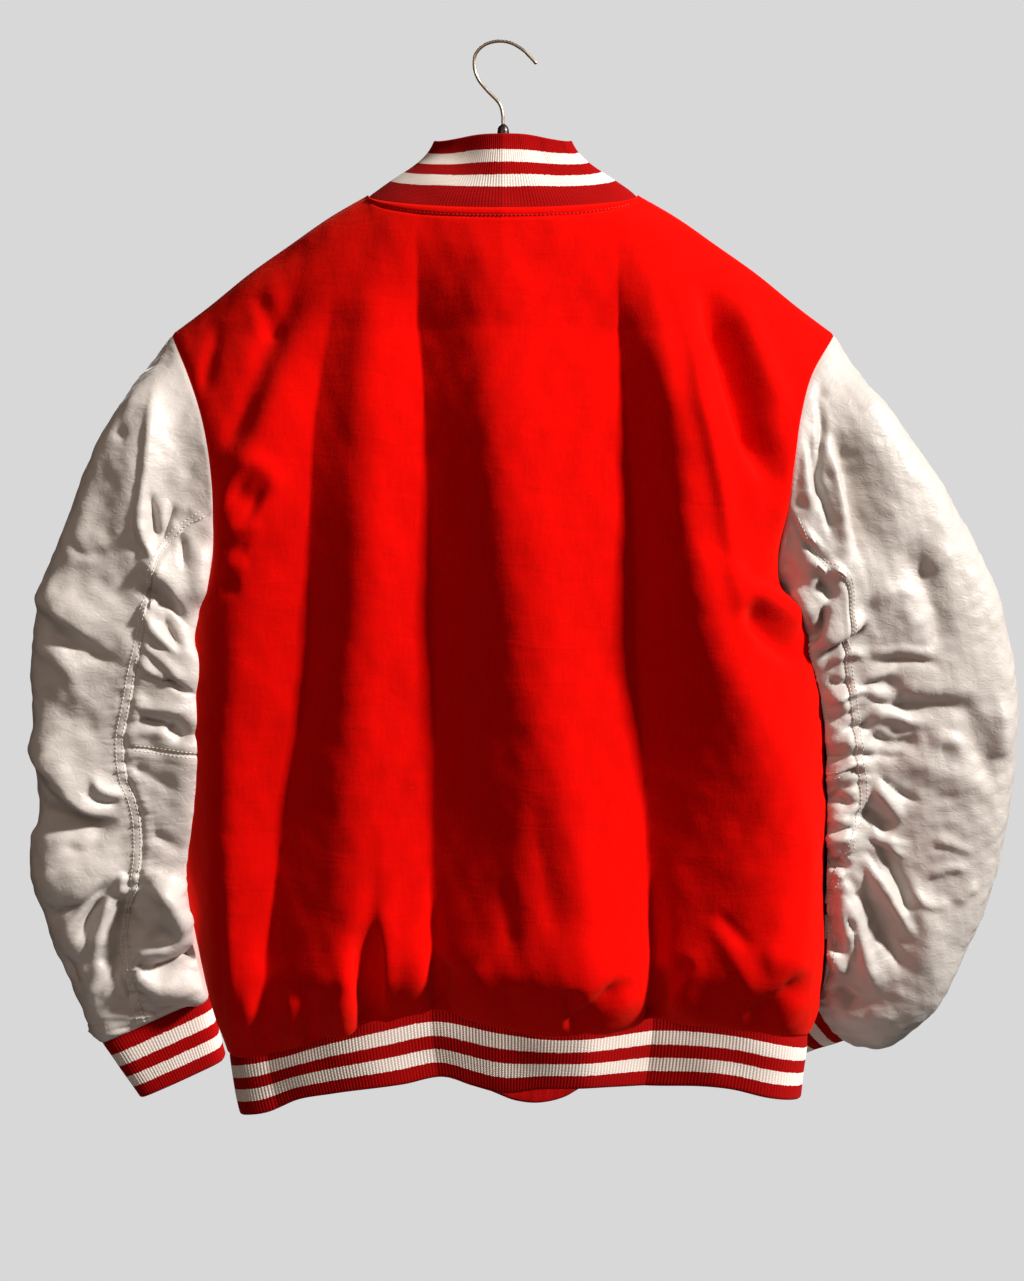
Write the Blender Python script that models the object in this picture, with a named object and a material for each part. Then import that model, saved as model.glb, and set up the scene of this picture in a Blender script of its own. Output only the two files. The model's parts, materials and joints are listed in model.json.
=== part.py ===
"""A varsity jacket on a hanger: wool body, leather sleeves, and ribbed collar, cuffs and hem.

Metres, +Z up. The wearer's front faces -Y and the wearer's left is +X. The origin is the underside of
the hook's bend, where a peg carries it. Tables are in millimetres, and a "drop" is a height below the
origin, so it grows downwards.

Every cloth piece is a grid of points on its outer face. Its rows climb towards the neck and its columns
go round anticlockwise, seen from above. Pieces that are sewn together share their points at the seam.
"""

import math

import bpy
import numpy as np
from mathutils import Matrix, Vector

MM = 0.001

# Cloth
WOOL = 2.4 * MM
LEATHER = 2.0 * MM
RIB = 3.0 * MM
SEAM_GAP = 0.3 * MM
RIM_DIAGONAL = (0.31, 0.17, 0.93)  # a direction that no seam is square to
LAYER_GAP = 0.5 * MM  # between the two fronts where they overlap
BODY_CLEARANCE = 4.0 * MM  # between a hanging sleeve and the body's side
CLEARANCE_START = 0.12  # share of the sleeve over which the clearance grows from the armhole

# Body
UNDERARM = 0.597  # share of the side's height where the side seam ends and the armhole starts
SHOULDER_X = 281 * MM
NECK_X = 114 * MM
NECK_BACK_DROP, NECK_FRONT_DROP = 147 * MM, 214 * MM
NECK_POWER = {"back": 1.9, "front": 1.8}  # 2 is an ellipse, and less is more pointed at the neck points
SHOULDER_ROUNDING = 70 * MM  # how far below the shoulder the cloth takes to fill out
SECTION_POWER = 3.2  # 2 is an ellipse, and more is squarer
ARMHOLE_BACK_Y, ARMHOLE_FRONT_Y = 66 * MM, 62 * MM
PLACKET_HALF = 15 * MM
PLACKET_BLEND = 60 * MM

# Ribs
HEM_TAPER, HEM_TAPER_SIDE = 8 * MM, 0.008  # the wearer's left draws in a little more than the right
COLLAR_HEIGHT, COLLAR_SIDE_EXTRA, COLLAR_END_HEIGHT = 70 * MM, 5 * MM, 54 * MM
COLLAR_LEAN = {"back": 20.0, "side": 50.0, "front": 24.0}  # degrees inwards
COLLAR_HOLLOW = 0.22  # how much more the collar leans in at half its height
CUFF_HEIGHT = 58 * MM

# Snaps on the left front
SNAP_RADIUS, SNAP_RISE = 8.0 * MM, 3.6 * MM
SNAP_DROPS = [drop * MM for drop in (245, 352, 459, 566, 673, 780)]

SNAP_SEAT = 0.4 * MM  # between the cloth and a snap's flat back
SNAP_SEGMENTS = 16
SNAP_PROFILE = [(1.0, 0.0), (1.0, 0.35), (0.86, 0.75), (0.5, 0.95)]  # reach and rise, as shares

# Hanger
WIRE_RADIUS = 1.4 * MM
FERRULE_RADIUS, FERRULE_TOP, FERRULE_BOTTOM = 5.2 * MM, 69 * MM, 99 * MM
BAR_TIP_X, BAR_SEAT = 222 * MM, 5.1 * MM
BAR_HALF_THICKNESS, BAR_DEPTH_MIDDLE, BAR_DEPTH_TIP = 6.5 * MM, 26 * MM, 13 * MM
BAR_LEVEL, BAR_BEND = 12 * MM, 95 * MM  # how far from the middle it stays level, and how long it then bends
BAR_SPANS, BAR_CORNERS = 26, 12
FERRULE_SEGMENTS = 16

# Points along and across the pieces
ROWS_SIDE, ROWS_ARMHOLE = 13, 10
COLUMNS_NECK, COLUMNS_SHOULDER = 6, 8
ROWS_SLEEVE, ROWS_HEM, ROWS_COLLAR, ROWS_CUFF = 26, 3, 4, 3
BACK_SEAM, FRONT_SEAM = 7, 14  # columns of the sleeve where its two pieces meet
ELBOW_ROW = 13  # row of the sleeve, counted from the cuff, where the under piece is joined


def table(names, *rows):
    """Rows of millimetres as a dictionary of columns in metres."""
    return dict(zip(names.split(), np.array(rows, float).T * MM))


# The body's outline at each height: half widths on the wearer's left and right, and how far the
# back and the front stand off the side seams.
BODY = table(
    "drop left right back front",
    (249, 281, 281, 74, 76),
    (285, 264, 259, 80, 78),
    (320, 251, 248, 86, 79),
    (360, 242, 241, 90, 80),
    (400, 239, 235, 93, 81),
    (440, 241, 228, 94, 82),
    (470, 249, 233, 94, 82),
    (497, 264, 255, 93, 82),
    (555, 268, 269, 92, 82),
    (640, 266, 272, 91, 82),
    (720, 266, 270, 90, 81),
    (765, 258, 270, 88, 80),
    (815, 245, 267, 84, 77),
    (838, 238, 264, 77, 72),
    (858, 231, 257, 66, 64),
)
# The ridge over the shoulders. Inside the neck points it only guides the cloth towards the neckline.
SHOULDER = table(
    "x drop",
    *((0, 92), (57, 103), (114, 131), (147, 150), (180, 173), (214, 197), (250, 226), (281, 249)),
)
# Lower edges of the body, where the hem band is sewn on, and of the hem band.
HEM_BACK = table(
    "x drop",
    *((-257, 840), (-197, 827), (-130, 822), (-74, 828), (-35, 828), (3, 822)),
    *((58, 814), (110, 824), (150, 835), (181, 846), (231, 856)),
)
HEM_FRONT = table(
    "x drop",
    *((-257, 840), (-150, 832), (-85, 838), (-62, 849), (-36, 853), (-10, 849)),
    *((10, 842), (54, 830), (150, 838), (231, 856)),
)
EDGE_BACK = table(
    "x drop",
    *((-257, 893), (-225, 888), (-197, 881), (-130, 879), (-75, 879), (-35, 880), (0, 884)),
    *((30, 878), (52, 872), (90, 877), (150, 885), (180, 891), (205, 902), (231, 907)),
)
EDGE_FRONT = table(
    "x drop",
    *((-257, 893), (-150, 886), (-95, 889), (-75, 896), (-60, 904), (-38, 909), (-12, 907)),
    *((12, 899), (54, 885), (150, 893), (231, 907)),
)
# Vertical folds. A row is one crest (relief above zero) or trough: its relief at three drops, then its
# x at four. Between rows the cloth rolls from one to the next.
RELIEF_DROPS = np.array([230, 530, 800]) * MM
FOLD_DROPS = np.array([230, 400, 570, 780]) * MM
FOLDS_BACK = table(
    "top middle bottom yoke chest waist low",
    (0, 0, 0, -281, -254, -270, -269),
    (7, 22, 26, -149, -180, -222, -243),
    (-5, -16, -19, -113, -106, -111, -130),
    (8, 13, 16, 2, -14, -40, -63),
    (-6, -14, -14, 64, 58, 56, 50),
    (4, 4, 3, 98, 98, 99, 93),
    (-2, -8, -9, 131, 157, 170, 198),
    (4, 15, 15, 165, 225, 240, 232),
    (0, 0, 0, 281, 254, 268, 257),
)
FOLDS_FRONT = table(
    "top middle bottom yoke chest waist low",
    (0, 0, 0, -281, -250, -272, -270),
    (4, 6, 6, -190, -186, -196, -190),
    (-4, -8, -9, -138, -132, -130, -138),
    (3, 6, 7, -80, -76, -70, -74),
    (0, 0, 0, -30, -30, -30, -30),
    (0, 0, 0, 30, 30, 30, 30),
    (3, 6, 7, 84, 86, 88, 92),
    (-4, -8, -9, 142, 140, 150, 158),
    (4, 6, 6, 196, 190, 204, 206),
    (0, 0, 0, 281, 250, 268, 258),
)
# Sections of the sleeves, from the armhole to the cuff seam: the outer and the inner edge, then how
# far the middle stands off the side seam's plane and the full depth. Positive y is the back.
SLEEVE_LEFT = table(
    "outer_x outer_drop inner_x inner_drop middle_y depth",
    (331, 318, 252, 518, 2, 146),
    (369, 402, 250, 540, 4, 150),
    (396, 482, 250, 562, 5, 146),
    (404, 558, 250, 592, 3, 140),
    (401, 635, 250, 630, 0, 134),
    (402, 694, 250, 676, -4, 128),
    (390, 754, 250, 718, -8, 118),
    (372, 803, 250, 762, -12, 100),
    (350, 850, 252, 808, -16, 62),
)
SLEEVE_RIGHT = table(
    "outer_x outer_drop inner_x inner_drop middle_y depth",
    (322, 308, 252, 508, -6, 146),
    (367, 370, 252, 532, -14, 152),
    (402, 429, 252, 560, -22, 152),
    (430, 495, 252, 590, -28, 150),
    (443, 563, 252, 624, -32, 146),
    (441, 635, 252, 662, -36, 142),
    (429, 703, 252, 696, -40, 138),
    (402, 767, 254, 730, -44, 132),
    (366, 829, 258, 764, -50, 120),
    (338, 851, 262, 782, -62, 100),
    (311, 849, 260, 784, -76, 64),
)
# How far each section's back edge leans down the sleeve, in degrees, at the cuff end of each sleeve.
LEAN_LEFT = np.array([0, 0, 0, 0, 0, 0, 0, 0, 4.0])
LEAN_RIGHT = np.array([0, 0, 0, 0, 0, 0, 0, 0, 6.0, 20.0, 34.0])
# Broad folds and hollows of a sleeve: share of the way down it and round it (from its outer edge over
# the back), the reach of the fold both ways as shares, and its relief in millimetres.
SLEEVE_FOLDS = {
    "left": (
        dict(down=0.30, round=0.16, length=0.05, reach=0.10, relief=-5),
        dict(down=0.44, round=0.14, length=0.04, reach=0.12, relief=7),
        dict(down=0.53, round=0.15, length=0.035, reach=0.12, relief=-7),
        dict(down=0.62, round=0.13, length=0.04, reach=0.12, relief=7),
        dict(down=0.72, round=0.15, length=0.035, reach=0.12, relief=-8),
        dict(down=0.82, round=0.12, length=0.04, reach=0.12, relief=6),
        dict(down=0.24, round=0.42, length=0.04, reach=0.10, relief=6),
        dict(down=0.36, round=0.40, length=0.04, reach=0.10, relief=-6),
        dict(down=0.84, round=0.36, length=0.04, reach=0.10, relief=8),
        dict(down=0.40, round=0.85, length=0.05, reach=0.12, relief=6),
        dict(down=0.58, round=0.84, length=0.05, reach=0.12, relief=-6),
        dict(down=0.76, round=0.85, length=0.05, reach=0.12, relief=6),
    ),
    "right": (
        dict(down=0.26, round=0.20, length=0.05, reach=0.09, relief=-7),
        dict(down=0.37, round=0.18, length=0.04, reach=0.12, relief=8),
        dict(down=0.46, round=0.17, length=0.035, reach=0.12, relief=-8),
        dict(down=0.55, round=0.16, length=0.04, reach=0.12, relief=8),
        dict(down=0.65, round=0.20, length=0.035, reach=0.12, relief=-8),
        dict(down=0.75, round=0.17, length=0.04, reach=0.12, relief=7),
        dict(down=0.83, round=0.24, length=0.035, reach=0.10, relief=-7),
        dict(down=0.22, round=0.38, length=0.04, reach=0.10, relief=6),
        dict(down=0.50, round=0.38, length=0.05, reach=0.10, relief=-6),
        dict(down=0.38, round=0.85, length=0.05, reach=0.12, relief=6),
        dict(down=0.56, round=0.84, length=0.05, reach=0.12, relief=-6),
        dict(down=0.74, round=0.85, length=0.05, reach=0.12, relief=6),
    ),
}
# The hook's centreline, seen from the front: x to the wearer's left, drop to the wire's middle.
HOOK = table(
    "x drop",
    *((0, 69), (0.5, 60), (3.5, 51), (13, 41), (21, 31), (24.3, 21), (23.5, 10)),
    *((17, 2.5), (9, -0.8), (0, -1.4), (-8, 0.6), (-17, 6), (-25, 14), (-28.5, 18)),
)


def smooth(at, knots, values):
    """The cubic curve through (knots, values), read at `at`, and held at its ends beyond them."""
    at = np.clip(at, knots[0], knots[-1])
    tangents = np.gradient(values, knots, axis=0)
    i = np.clip(np.searchsorted(knots, at, side="right") - 1, 0, len(knots) - 2)
    step = knots[i + 1] - knots[i]
    t = (at - knots[i]) / step
    if np.ndim(values) > 1:
        step, t = (np.reshape(a, np.shape(a) + (1,) * (np.ndim(values) - 1)) for a in (step, t))
    return (
        values[i] * (1 + 2 * t) * (1 - t) ** 2
        + tangents[i] * step * t * (1 - t) ** 2
        + values[i + 1] * t**2 * (3 - 2 * t)
        - tangents[i + 1] * step * t**2 * (1 - t)
    )


def ease(t):
    """0 up to t = 0, 1 from t = 1, and a smooth rise between."""
    t = np.clip(t, 0, 1)
    return t * t * (3 - 2 * t)


def unit(vectors):
    return vectors / np.maximum(np.linalg.norm(vectors, axis=-1, keepdims=True), 1e-12)


# The body as a surface of two numbers: `across` runs from -1 at the wearer's right side to 1 at the
# left, and `rise` from 0 at the hem seam to 1 at the shoulder and neck seams.


def armhole_depth(rise, face):
    """How far the armhole's edge stands off the side seam's plane, forward or back."""
    up = np.clip((rise - UNDERARM) / (1 - UNDERARM), 0, 1)
    return (ARMHOLE_BACK_Y if face > 0 else ARMHOLE_FRONT_Y) * np.sin(math.pi * up) ** 0.7


def half_width(drop, across):
    left, right = (smooth(drop, BODY["drop"], BODY[name]) for name in ("left", "right"))
    return np.where(across > 0, left, right)


def ridge(across):
    return smooth(np.abs(across) * SHOULDER_X, SHOULDER["x"], SHOULDER["drop"])


def top_edge(across, face):
    """Drop of the shoulder seam and, between the neck points, of the neckline."""
    power = NECK_POWER["back" if face > 0 else "front"]
    reach = np.abs(across) * SHOULDER_X / NECK_X
    along = np.clip(1 - reach**power, 0, 1) ** (1 / power)
    neck_point = ridge(NECK_X / SHOULDER_X)
    neckline = neck_point + along * ((NECK_BACK_DROP if face > 0 else NECK_FRONT_DROP) - neck_point)
    return np.where(reach < 1, neckline, ridge(across))


def fold_relief(x, drop, folds):
    """The rolling folds: a cosine between each crest and the next trough."""
    tracks = np.stack([folds[name] for name in ("yoke", "chest", "waist", "low")])
    here = smooth(drop, FOLD_DROPS, tracks)
    levels = np.stack([folds[name] for name in ("top", "middle", "bottom")])
    heights = smooth(drop, RELIEF_DROPS, levels)
    relief = np.zeros_like(x)
    for i in range(here.shape[-1] - 1):
        low, high = here[..., i], here[..., i + 1]
        t = np.clip((x - low) / np.maximum(high - low, 1 * MM), 0, 1)
        inside = (x >= low) & (x <= high)
        step = heights[..., i + 1] - heights[..., i]
        rolled = heights[..., i] + step * (0.5 - 0.5 * np.cos(math.pi * t))
        relief = np.where(inside, rolled, relief)
    return relief


def body_surface(across, rise, face):
    """Points of the back (face 1) or the front (face -1), as an array of x, y and z."""
    across, rise = np.broadcast_arrays(across, rise)
    hem = HEM_BACK if face > 0 else HEM_FRONT
    hem_x = across * half_width(BODY["drop"][-1], across)
    hem_drop = smooth(hem_x, hem["x"], hem["drop"])
    side_hem = np.where(across > 0, hem["drop"][-1], hem["drop"][0])
    side_drop = side_hem + (SHOULDER["drop"][-1] - side_hem) * rise
    top_drop = top_edge(across, face)
    near_hem = 1 - ease(rise / 0.25)  # the whole hem seam is the table's last level
    x = across * half_width(side_drop + (BODY["drop"][-1] - side_hem) * near_hem, across)
    drop = hem_drop + (top_drop - hem_drop) * rise
    below = drop - ridge(across)

    edge_depth = armhole_depth(rise, face)
    section = np.clip(1 - np.abs(across) ** SECTION_POWER, 0, 1) ** (1 / SECTION_POWER)
    level = drop + (BODY["drop"][-1] - hem_drop) * near_hem
    full = smooth(level, BODY["drop"], BODY["back" if face > 0 else "front"])
    filled = (1 - np.exp(-np.maximum(below, 0) / SHOULDER_ROUNDING)) ** 0.6
    folds = fold_relief(x, drop, FOLDS_BACK if face > 0 else FOLDS_FRONT)
    fade = ease((below - 22 * MM) / (120 * MM)) * (0.5 + 0.5 * ease(rise / 0.12))
    depth = edge_depth * (1 - section) + full * filled * section + folds * fade * section**0.4
    return np.stack([x, face * depth, -drop], axis=-1)


def side_rows():
    """Rises of the grid's rows: closer at the hem, where the wool puffs out, and at the shoulder."""
    low = UNDERARM * (np.arange(ROWS_SIDE) / ROWS_SIDE) ** 1.35
    high = 1 - (1 - UNDERARM) * (np.arange(ROWS_ARMHOLE, -1, -1) / ROWS_ARMHOLE) ** 1.35
    return np.concatenate([low, high])


def half_columns():
    """Shares across, from the centre line to the side, with one on the neck point."""
    neck = NECK_X / SHOULDER_X
    inner = neck * np.sin(np.linspace(0, math.pi / 2, COLUMNS_NECK + 1))
    outer = np.sin(np.linspace(math.asin(neck), math.pi / 2, COLUMNS_SHOULDER + 1))
    return np.concatenate([inner, outer[1:]])


def back_grid():
    half = half_columns()
    across = np.concatenate([half[::-1], -half[1:]])
    return body_surface(across[None, :], side_rows()[:, None], 1)


def front_grid(hand):
    """The left (hand 1) or right (hand -1) front. The left lies over the right at the placket."""
    half, placket = half_columns(), PLACKET_HALF / SHOULDER_X
    across = hand * np.concatenate([[-placket, 0, placket], half[1:]])
    grid = body_surface(across[None, :], side_rows()[:, None], -1)
    near = 1 - ease((hand * grid[..., 0] - PLACKET_HALF) / PLACKET_BLEND)
    grid[..., 1] -= hand * near * (RIB + LAYER_GAP) / 2
    return grid if hand > 0 else grid[:, ::-1]


# Sleeves


def sleeve_sections(hand, armhole):
    """Rings of points from the armhole to the cuff seam. A ring starts at the outer edge and goes over
    the back to the inner edge and round the front."""
    rows = SLEEVE_LEFT if hand > 0 else SLEEVE_RIGHT
    leans = np.radians(LEAN_LEFT if hand > 0 else LEAN_RIGHT)
    turn = 2 * math.pi * np.arange(2 * ROWS_ARMHOLE) / (2 * ROWS_ARMHOLE)
    rings = [armhole]
    for i, lean in enumerate(leans):
        outer = np.array([hand * rows["outer_x"][i], 0, -rows["outer_drop"][i]])
        inner = np.array([hand * rows["inner_x"][i], 0, -rows["inner_drop"][i]])
        middle, reach = (outer + inner) / 2, (outer - inner) / 2
        down = unit(np.array([hand * reach[2], 0, -hand * reach[0]]))
        across = rows["depth"][i] / 2 * (math.cos(lean) * np.array([0, 1, 0]) + math.sin(lean) * down)
        ring = middle + np.cos(turn)[:, None] * reach + np.sin(turn)[:, None] * across
        ring[:, 1] += rows["middle_y"][i]
        rings.append(ring)
    return np.array(rings)


def clear_of_body(tube, down, hand):
    """Moves the sleeve's points that would touch the body out of it, sideways."""
    drop, y = -tube[1:, :, 2], tube[1:, :, 1]
    seam_drop = HEM_BACK["drop"][-1 if hand > 0 else 0]
    rise = (seam_drop - drop) / (seam_drop - SHOULDER["drop"][-1])
    edge = np.where(y > 0, armhole_depth(rise, 1), armhole_depth(rise, -1))
    back, front = (smooth(drop, BODY["drop"], BODY[name]) for name in ("back", "front"))
    section = np.clip((np.abs(y) - edge) / (np.where(y > 0, back, front) - edge), 0, 1)
    width = half_width(drop, np.full(drop.shape, hand))
    reach = width * (1 - section**SECTION_POWER) ** (1 / SECTION_POWER)
    room = BODY_CLEARANCE * ease(down[1:, None] / CLEARANCE_START + 0.15)
    cleared = tube.copy()
    cleared[1:, :, 0] = hand * np.maximum(hand * tube[1:, :, 0], reach + room)
    return cleared


def sleeve_surface(hand, armhole):
    """The whole tube: rows from the armhole down to the cuff seam, columns round it."""
    rings = sleeve_sections(hand, armhole)
    steps = np.linalg.norm(np.diff(rings, axis=0), axis=2).mean(axis=1)
    knots = np.concatenate([[0], np.cumsum(steps)]) / steps.sum()
    down = np.linspace(0, 1, ROWS_SLEEVE + 1)
    tube = smooth(down, knots, rings)
    turns = np.arange(tube.shape[1]) / tube.shape[1]
    relief = np.zeros(tube.shape[:2])
    for fold in SLEEVE_FOLDS["left" if hand > 0 else "right"]:
        gap = np.abs(turns - fold["round"])
        gap = np.minimum(gap, 1 - gap) / fold["reach"]
        along = (down - fold["down"]) / fold["length"]
        relief += fold["relief"] * MM * np.exp(-(along[:, None] ** 2) - gap[None, :] ** 2)
    ends = ease(down / 0.12) * ease((1 - down) / 0.06)
    normals = ring_normals(tube, hand)
    tube = tube + normals * (relief * ends[:, None])[..., None]
    return clear_of_body(tube, down, hand)


def ring_normals(tube, hand):
    """Outward normals of a closed tube whose rows go down."""
    round_it = np.roll(tube, -1, axis=1) - np.roll(tube, 1, axis=1)
    return unit(np.cross(round_it, -np.gradient(tube, axis=0)) * hand)


def cuff_surface(sleeve, hand):
    """The cuff, from the sleeve's last ring along the sleeve's own direction, drawing in a little."""
    ring = sleeve[-1]
    middle = ring.mean(axis=0)
    quarter = len(ring) // 4
    axis = unit(np.cross(ring[quarter] - ring[3 * quarter], ring[0] - ring[2 * quarter])) * hand
    rows = []
    for t in np.linspace(0, 1, ROWS_CUFF + 1):
        width = 1 - 0.16 * t
        rows.append(middle + (ring - middle) * width + axis * CUFF_HEIGHT * t)
    return np.array(rows)


# Ribs


def hem_surface(seam):
    """The hem band, hanging from the body's lowest row and drawing in towards its edge."""
    x, y, z = seam.T
    back, front = (smooth(x, edge["x"], edge["drop"]) for edge in (EDGE_BACK, EDGE_FRONT))
    lower = np.where(y > 0, back, front)
    inward = -unit(seam * [1, 1, 0]) * (HEM_TAPER + HEM_TAPER_SIDE * seam[:, :1])
    rows = []
    for t in np.linspace(1, 0, ROWS_HEM + 1):
        row = seam + inward * t**1.5
        row[:, 2] = z + (-lower - z) * t
        rows.append(row)
    return np.array(rows)


def collar_surface(seam):
    """The collar, standing on the neckline and leaning in. It is lower at its two ends."""
    centre = np.array([0, -10 * MM])
    out = unit(seam[:, :2] - centre)
    facing = out[:, 1]  # 1 at the back, 0 at the sides, -1 at the front
    angles = [COLLAR_LEAN[name] for name in ("front", "side", "back")]
    lean = np.radians(smooth(facing, np.array([-1.0, 0.0, 1.0]), np.array(angles)))
    travel = np.concatenate([[0], np.cumsum(np.linalg.norm(np.diff(seam, axis=0), axis=1))])
    from_end = np.minimum(travel, travel[-1] - travel)
    full = COLLAR_HEIGHT + COLLAR_SIDE_EXTRA * (1 - facing**2)
    height = COLLAR_END_HEIGHT + (full - COLLAR_END_HEIGHT) * ease(from_end / (90 * MM))
    height *= 0.80 + 0.20 * np.sqrt(np.clip(from_end / (16 * MM), 0, 1))
    rows = []
    for t in np.linspace(0, 1, ROWS_COLLAR + 1):
        hollow = 1 + COLLAR_HOLLOW * math.sin(math.pi * t)
        side = -out * (np.sin(lean) * height * t * hollow)[:, None]
        rows.append(seam + np.column_stack([side, np.cos(lean) * height * t]))
    return np.array(rows)


# Solids


def material(name, colour, roughness, metallic=0.0):
    made = bpy.data.materials.new(name)
    made.use_nodes = True
    shader = made.node_tree.nodes["Principled BSDF"]
    shader.inputs["Base Color"].default_value = (*colour, 1)
    shader.inputs["Roughness"].default_value = roughness
    shader.inputs["Metallic"].default_value = metallic
    made.diffuse_color = (*colour, 1)
    return made


def add_object(name, data, finish):
    data.materials.append(finish)
    made = bpy.data.objects.new(name, data)
    bpy.context.scene.collection.objects.link(made)
    return made


def add_mesh(name, points, faces, finish):
    mesh = bpy.data.meshes.new(name)
    mesh.from_pydata([tuple(p) for p in points], [], faces)
    mesh.shade_smooth()
    mesh.set_sharp_from_angle(angle=math.radians(50))
    return add_object(name, mesh, finish)


def facing(grid, closed):
    """Outward unit normals of a grid: round the piece crossed with up it."""
    if closed:
        across = np.roll(grid, -1, axis=1) - np.roll(grid, 1, axis=1)
    else:
        across = np.gradient(grid, axis=1)
    return unit(np.cross(across, np.gradient(grid, axis=0)))


def summed(values, place):
    """At each row, the unit sum of the rows that have the same place."""
    total = np.zeros((place.max() + 1, 3))
    np.add.at(total, place, values)
    return unit(total[place])


def seam_normals(panels):
    """Each panel's normals. Points that panels share at a seam take the mean of all of theirs. Where a
    sleeve folds back sharply on the body, each side keeps the mean of its own panels instead."""
    grids = [panel["grid"] for panel in panels.values()]
    points = np.concatenate([grid.reshape(-1, 3) for grid in grids])
    normals = np.concatenate(
        [facing(panel["grid"], panel["closed"]).reshape(-1, 3) for panel in panels.values()]
    )
    sides = [("left" in name) - ("right" in name) if "front" not in name else 0 for name in panels]
    side = np.repeat(sides, [grid.shape[0] * grid.shape[1] for grid in grids])
    keys = np.column_stack([np.round(points / (0.01 * MM)).astype(int), side])
    _, everywhere = np.unique(keys[:, :3], axis=0, return_inverse=True)
    _, own_side = np.unique(keys, axis=0, return_inverse=True)
    mean, own = (summed(normals, place.reshape(-1)) for place in (everywhere, own_side))
    share = ease(((mean * own).sum(axis=1, keepdims=True) - 0.3) / 0.4)
    mean = unit(mean * share + own * (1 - share))
    ends = np.cumsum([grid.shape[0] * grid.shape[1] for grid in grids])[:-1]
    parts = np.split(mean, ends)
    return {name: part.reshape(grid.shape) for name, part, grid in zip(panels, parts, grids)}


def trimmed(grid, closed):
    """The grid with each border drawn in along the cloth, square to the border, by half a seam's gap."""
    drawn = grid.copy()
    borders = [(0, 1, 0), (0, -2, -1)] + ([] if closed else [(1, 1, 0), (1, -2, -1)])
    for axis, inner, border in borders:
        inside, edge = grid.take(inner, axis), grid.take(border, axis)
        if closed:
            along = unit(np.roll(edge, -1, axis=0) - np.roll(edge, 1, axis=0))
        else:
            along = unit(np.gradient(edge, axis=0))
        shift = inside - edge
        shift = unit(shift - (shift * along).sum(axis=1)[:, None] * along) * SEAM_GAP / 2
        if axis == 0:
            drawn[border] += shift
        else:
            drawn[:, border] += shift
    return drawn


def cloth_wall(name, panel, normals):
    """A closed solid: the grid, the same grid moved in by the cloth's thickness, and the rims."""
    grid, closed = panel["grid"], panel["closed"]
    outer = trimmed(grid, closed)
    inner = outer - normals * panel["thickness"]
    rows, columns = grid.shape[:2]
    points = np.concatenate([outer.reshape(-1, 3), inner.reshape(-1, 3)])
    under = rows * columns

    def at(row, column):
        return row * columns + column % columns

    def rim(a, b):
        """Two triangles between the faces. Seams that meet are split along the same diagonal."""
        if points[a] @ RIM_DIAGONAL > points[b] @ RIM_DIAGONAL:
            return [(a, b, under + b), (a, under + b, under + a)]
        return [(a, b, under + a), (b, under + b, under + a)]

    faces = []
    for c in range(columns if closed else columns - 1):
        for r in range(rows - 1):
            a, b, d, e = at(r, c), at(r, c + 1), at(r + 1, c + 1), at(r + 1, c)
            if np.linalg.norm(points[a] - points[d]) < np.linalg.norm(points[b] - points[e]):
                halves = [(a, b, d), (a, d, e)]
            else:
                halves = [(a, b, e), (b, d, e)]
            faces += halves + [tuple(under + corner for corner in half[::-1]) for half in halves]
        faces += rim(at(0, c + 1), at(0, c)) + rim(at(rows - 1, c), at(rows - 1, c + 1))
    if not closed:
        for r in range(rows - 1):
            faces += rim(at(r, 0), at(r + 1, 0)) + rim(at(r + 1, columns - 1), at(r, columns - 1))
    return add_mesh(name, points, faces, panel["finish"])


def body_panels(finish):
    left, right = front_grid(1), front_grid(-1)
    wool = dict(thickness=WOOL, closed=False, finish=finish["wool"])
    return {
        "back": dict(grid=back_grid(), **wool),
        "front_left": dict(grid=left, **wool),
        "front_right": dict(grid=right, **wool),
    }


def rib_panels(panels, finish):
    """The hem and the collar, from the body panels' lowest and highest rows."""
    order = ("front_left", "back", "front_right")
    rib = dict(thickness=RIB, closed=False, finish=finish["rib"])
    low = [panels[name]["grid"][0] for name in order]
    hem_seam = np.concatenate([low[0][:-1], low[1], low[2][1:]])
    left, back, right = (panels[name]["grid"][-1] for name in order)
    side = COLUMNS_SHOULDER
    neck_seam = np.concatenate([left[1 : -side - 1], back[side:-side], right[side + 1 : -1]])
    return {
        "hem_band": dict(grid=hem_surface(hem_seam), **rib),
        "collar": dict(grid=collar_surface(neck_seam), **rib),
    }


def sleeve_panels(panels, hand, finish):
    """Upper piece, two under pieces and the cuff of one sleeve."""
    name = "left" if hand > 0 else "right"
    back, front = panels["back"]["grid"], panels["front_" + name]["grid"]
    back_edge = back[ROWS_SIDE:, 0 if hand > 0 else -1][::-1]
    front_edge = front[ROWS_SIDE:, -1 if hand > 0 else 0]
    tube = sleeve_surface(hand, np.concatenate([back_edge, front_edge[1:-1]]))
    cuff = cuff_surface(tube, hand)

    def panel(rows, closed=False, thickness=LEATHER, material_name="leather"):
        grid = rows[::-1] if hand > 0 else rows[::-1, ::-1]
        return dict(grid=grid, thickness=thickness, closed=closed, finish=finish[material_name])

    upper = np.concatenate([tube[:, FRONT_SEAM:], tube[:, : BACK_SEAM + 1]], axis=1)
    under = tube[:, BACK_SEAM : FRONT_SEAM + 1]
    elbow = ROWS_SLEEVE - ELBOW_ROW
    return {
        f"sleeve_{name}_upper": panel(upper),
        f"sleeve_{name}_under_top": panel(under[: elbow + 1]),
        f"sleeve_{name}_under_low": panel(under[elbow:]),
        f"cuff_{name}": panel(cuff, True, RIB, "rib"),
    }


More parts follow.
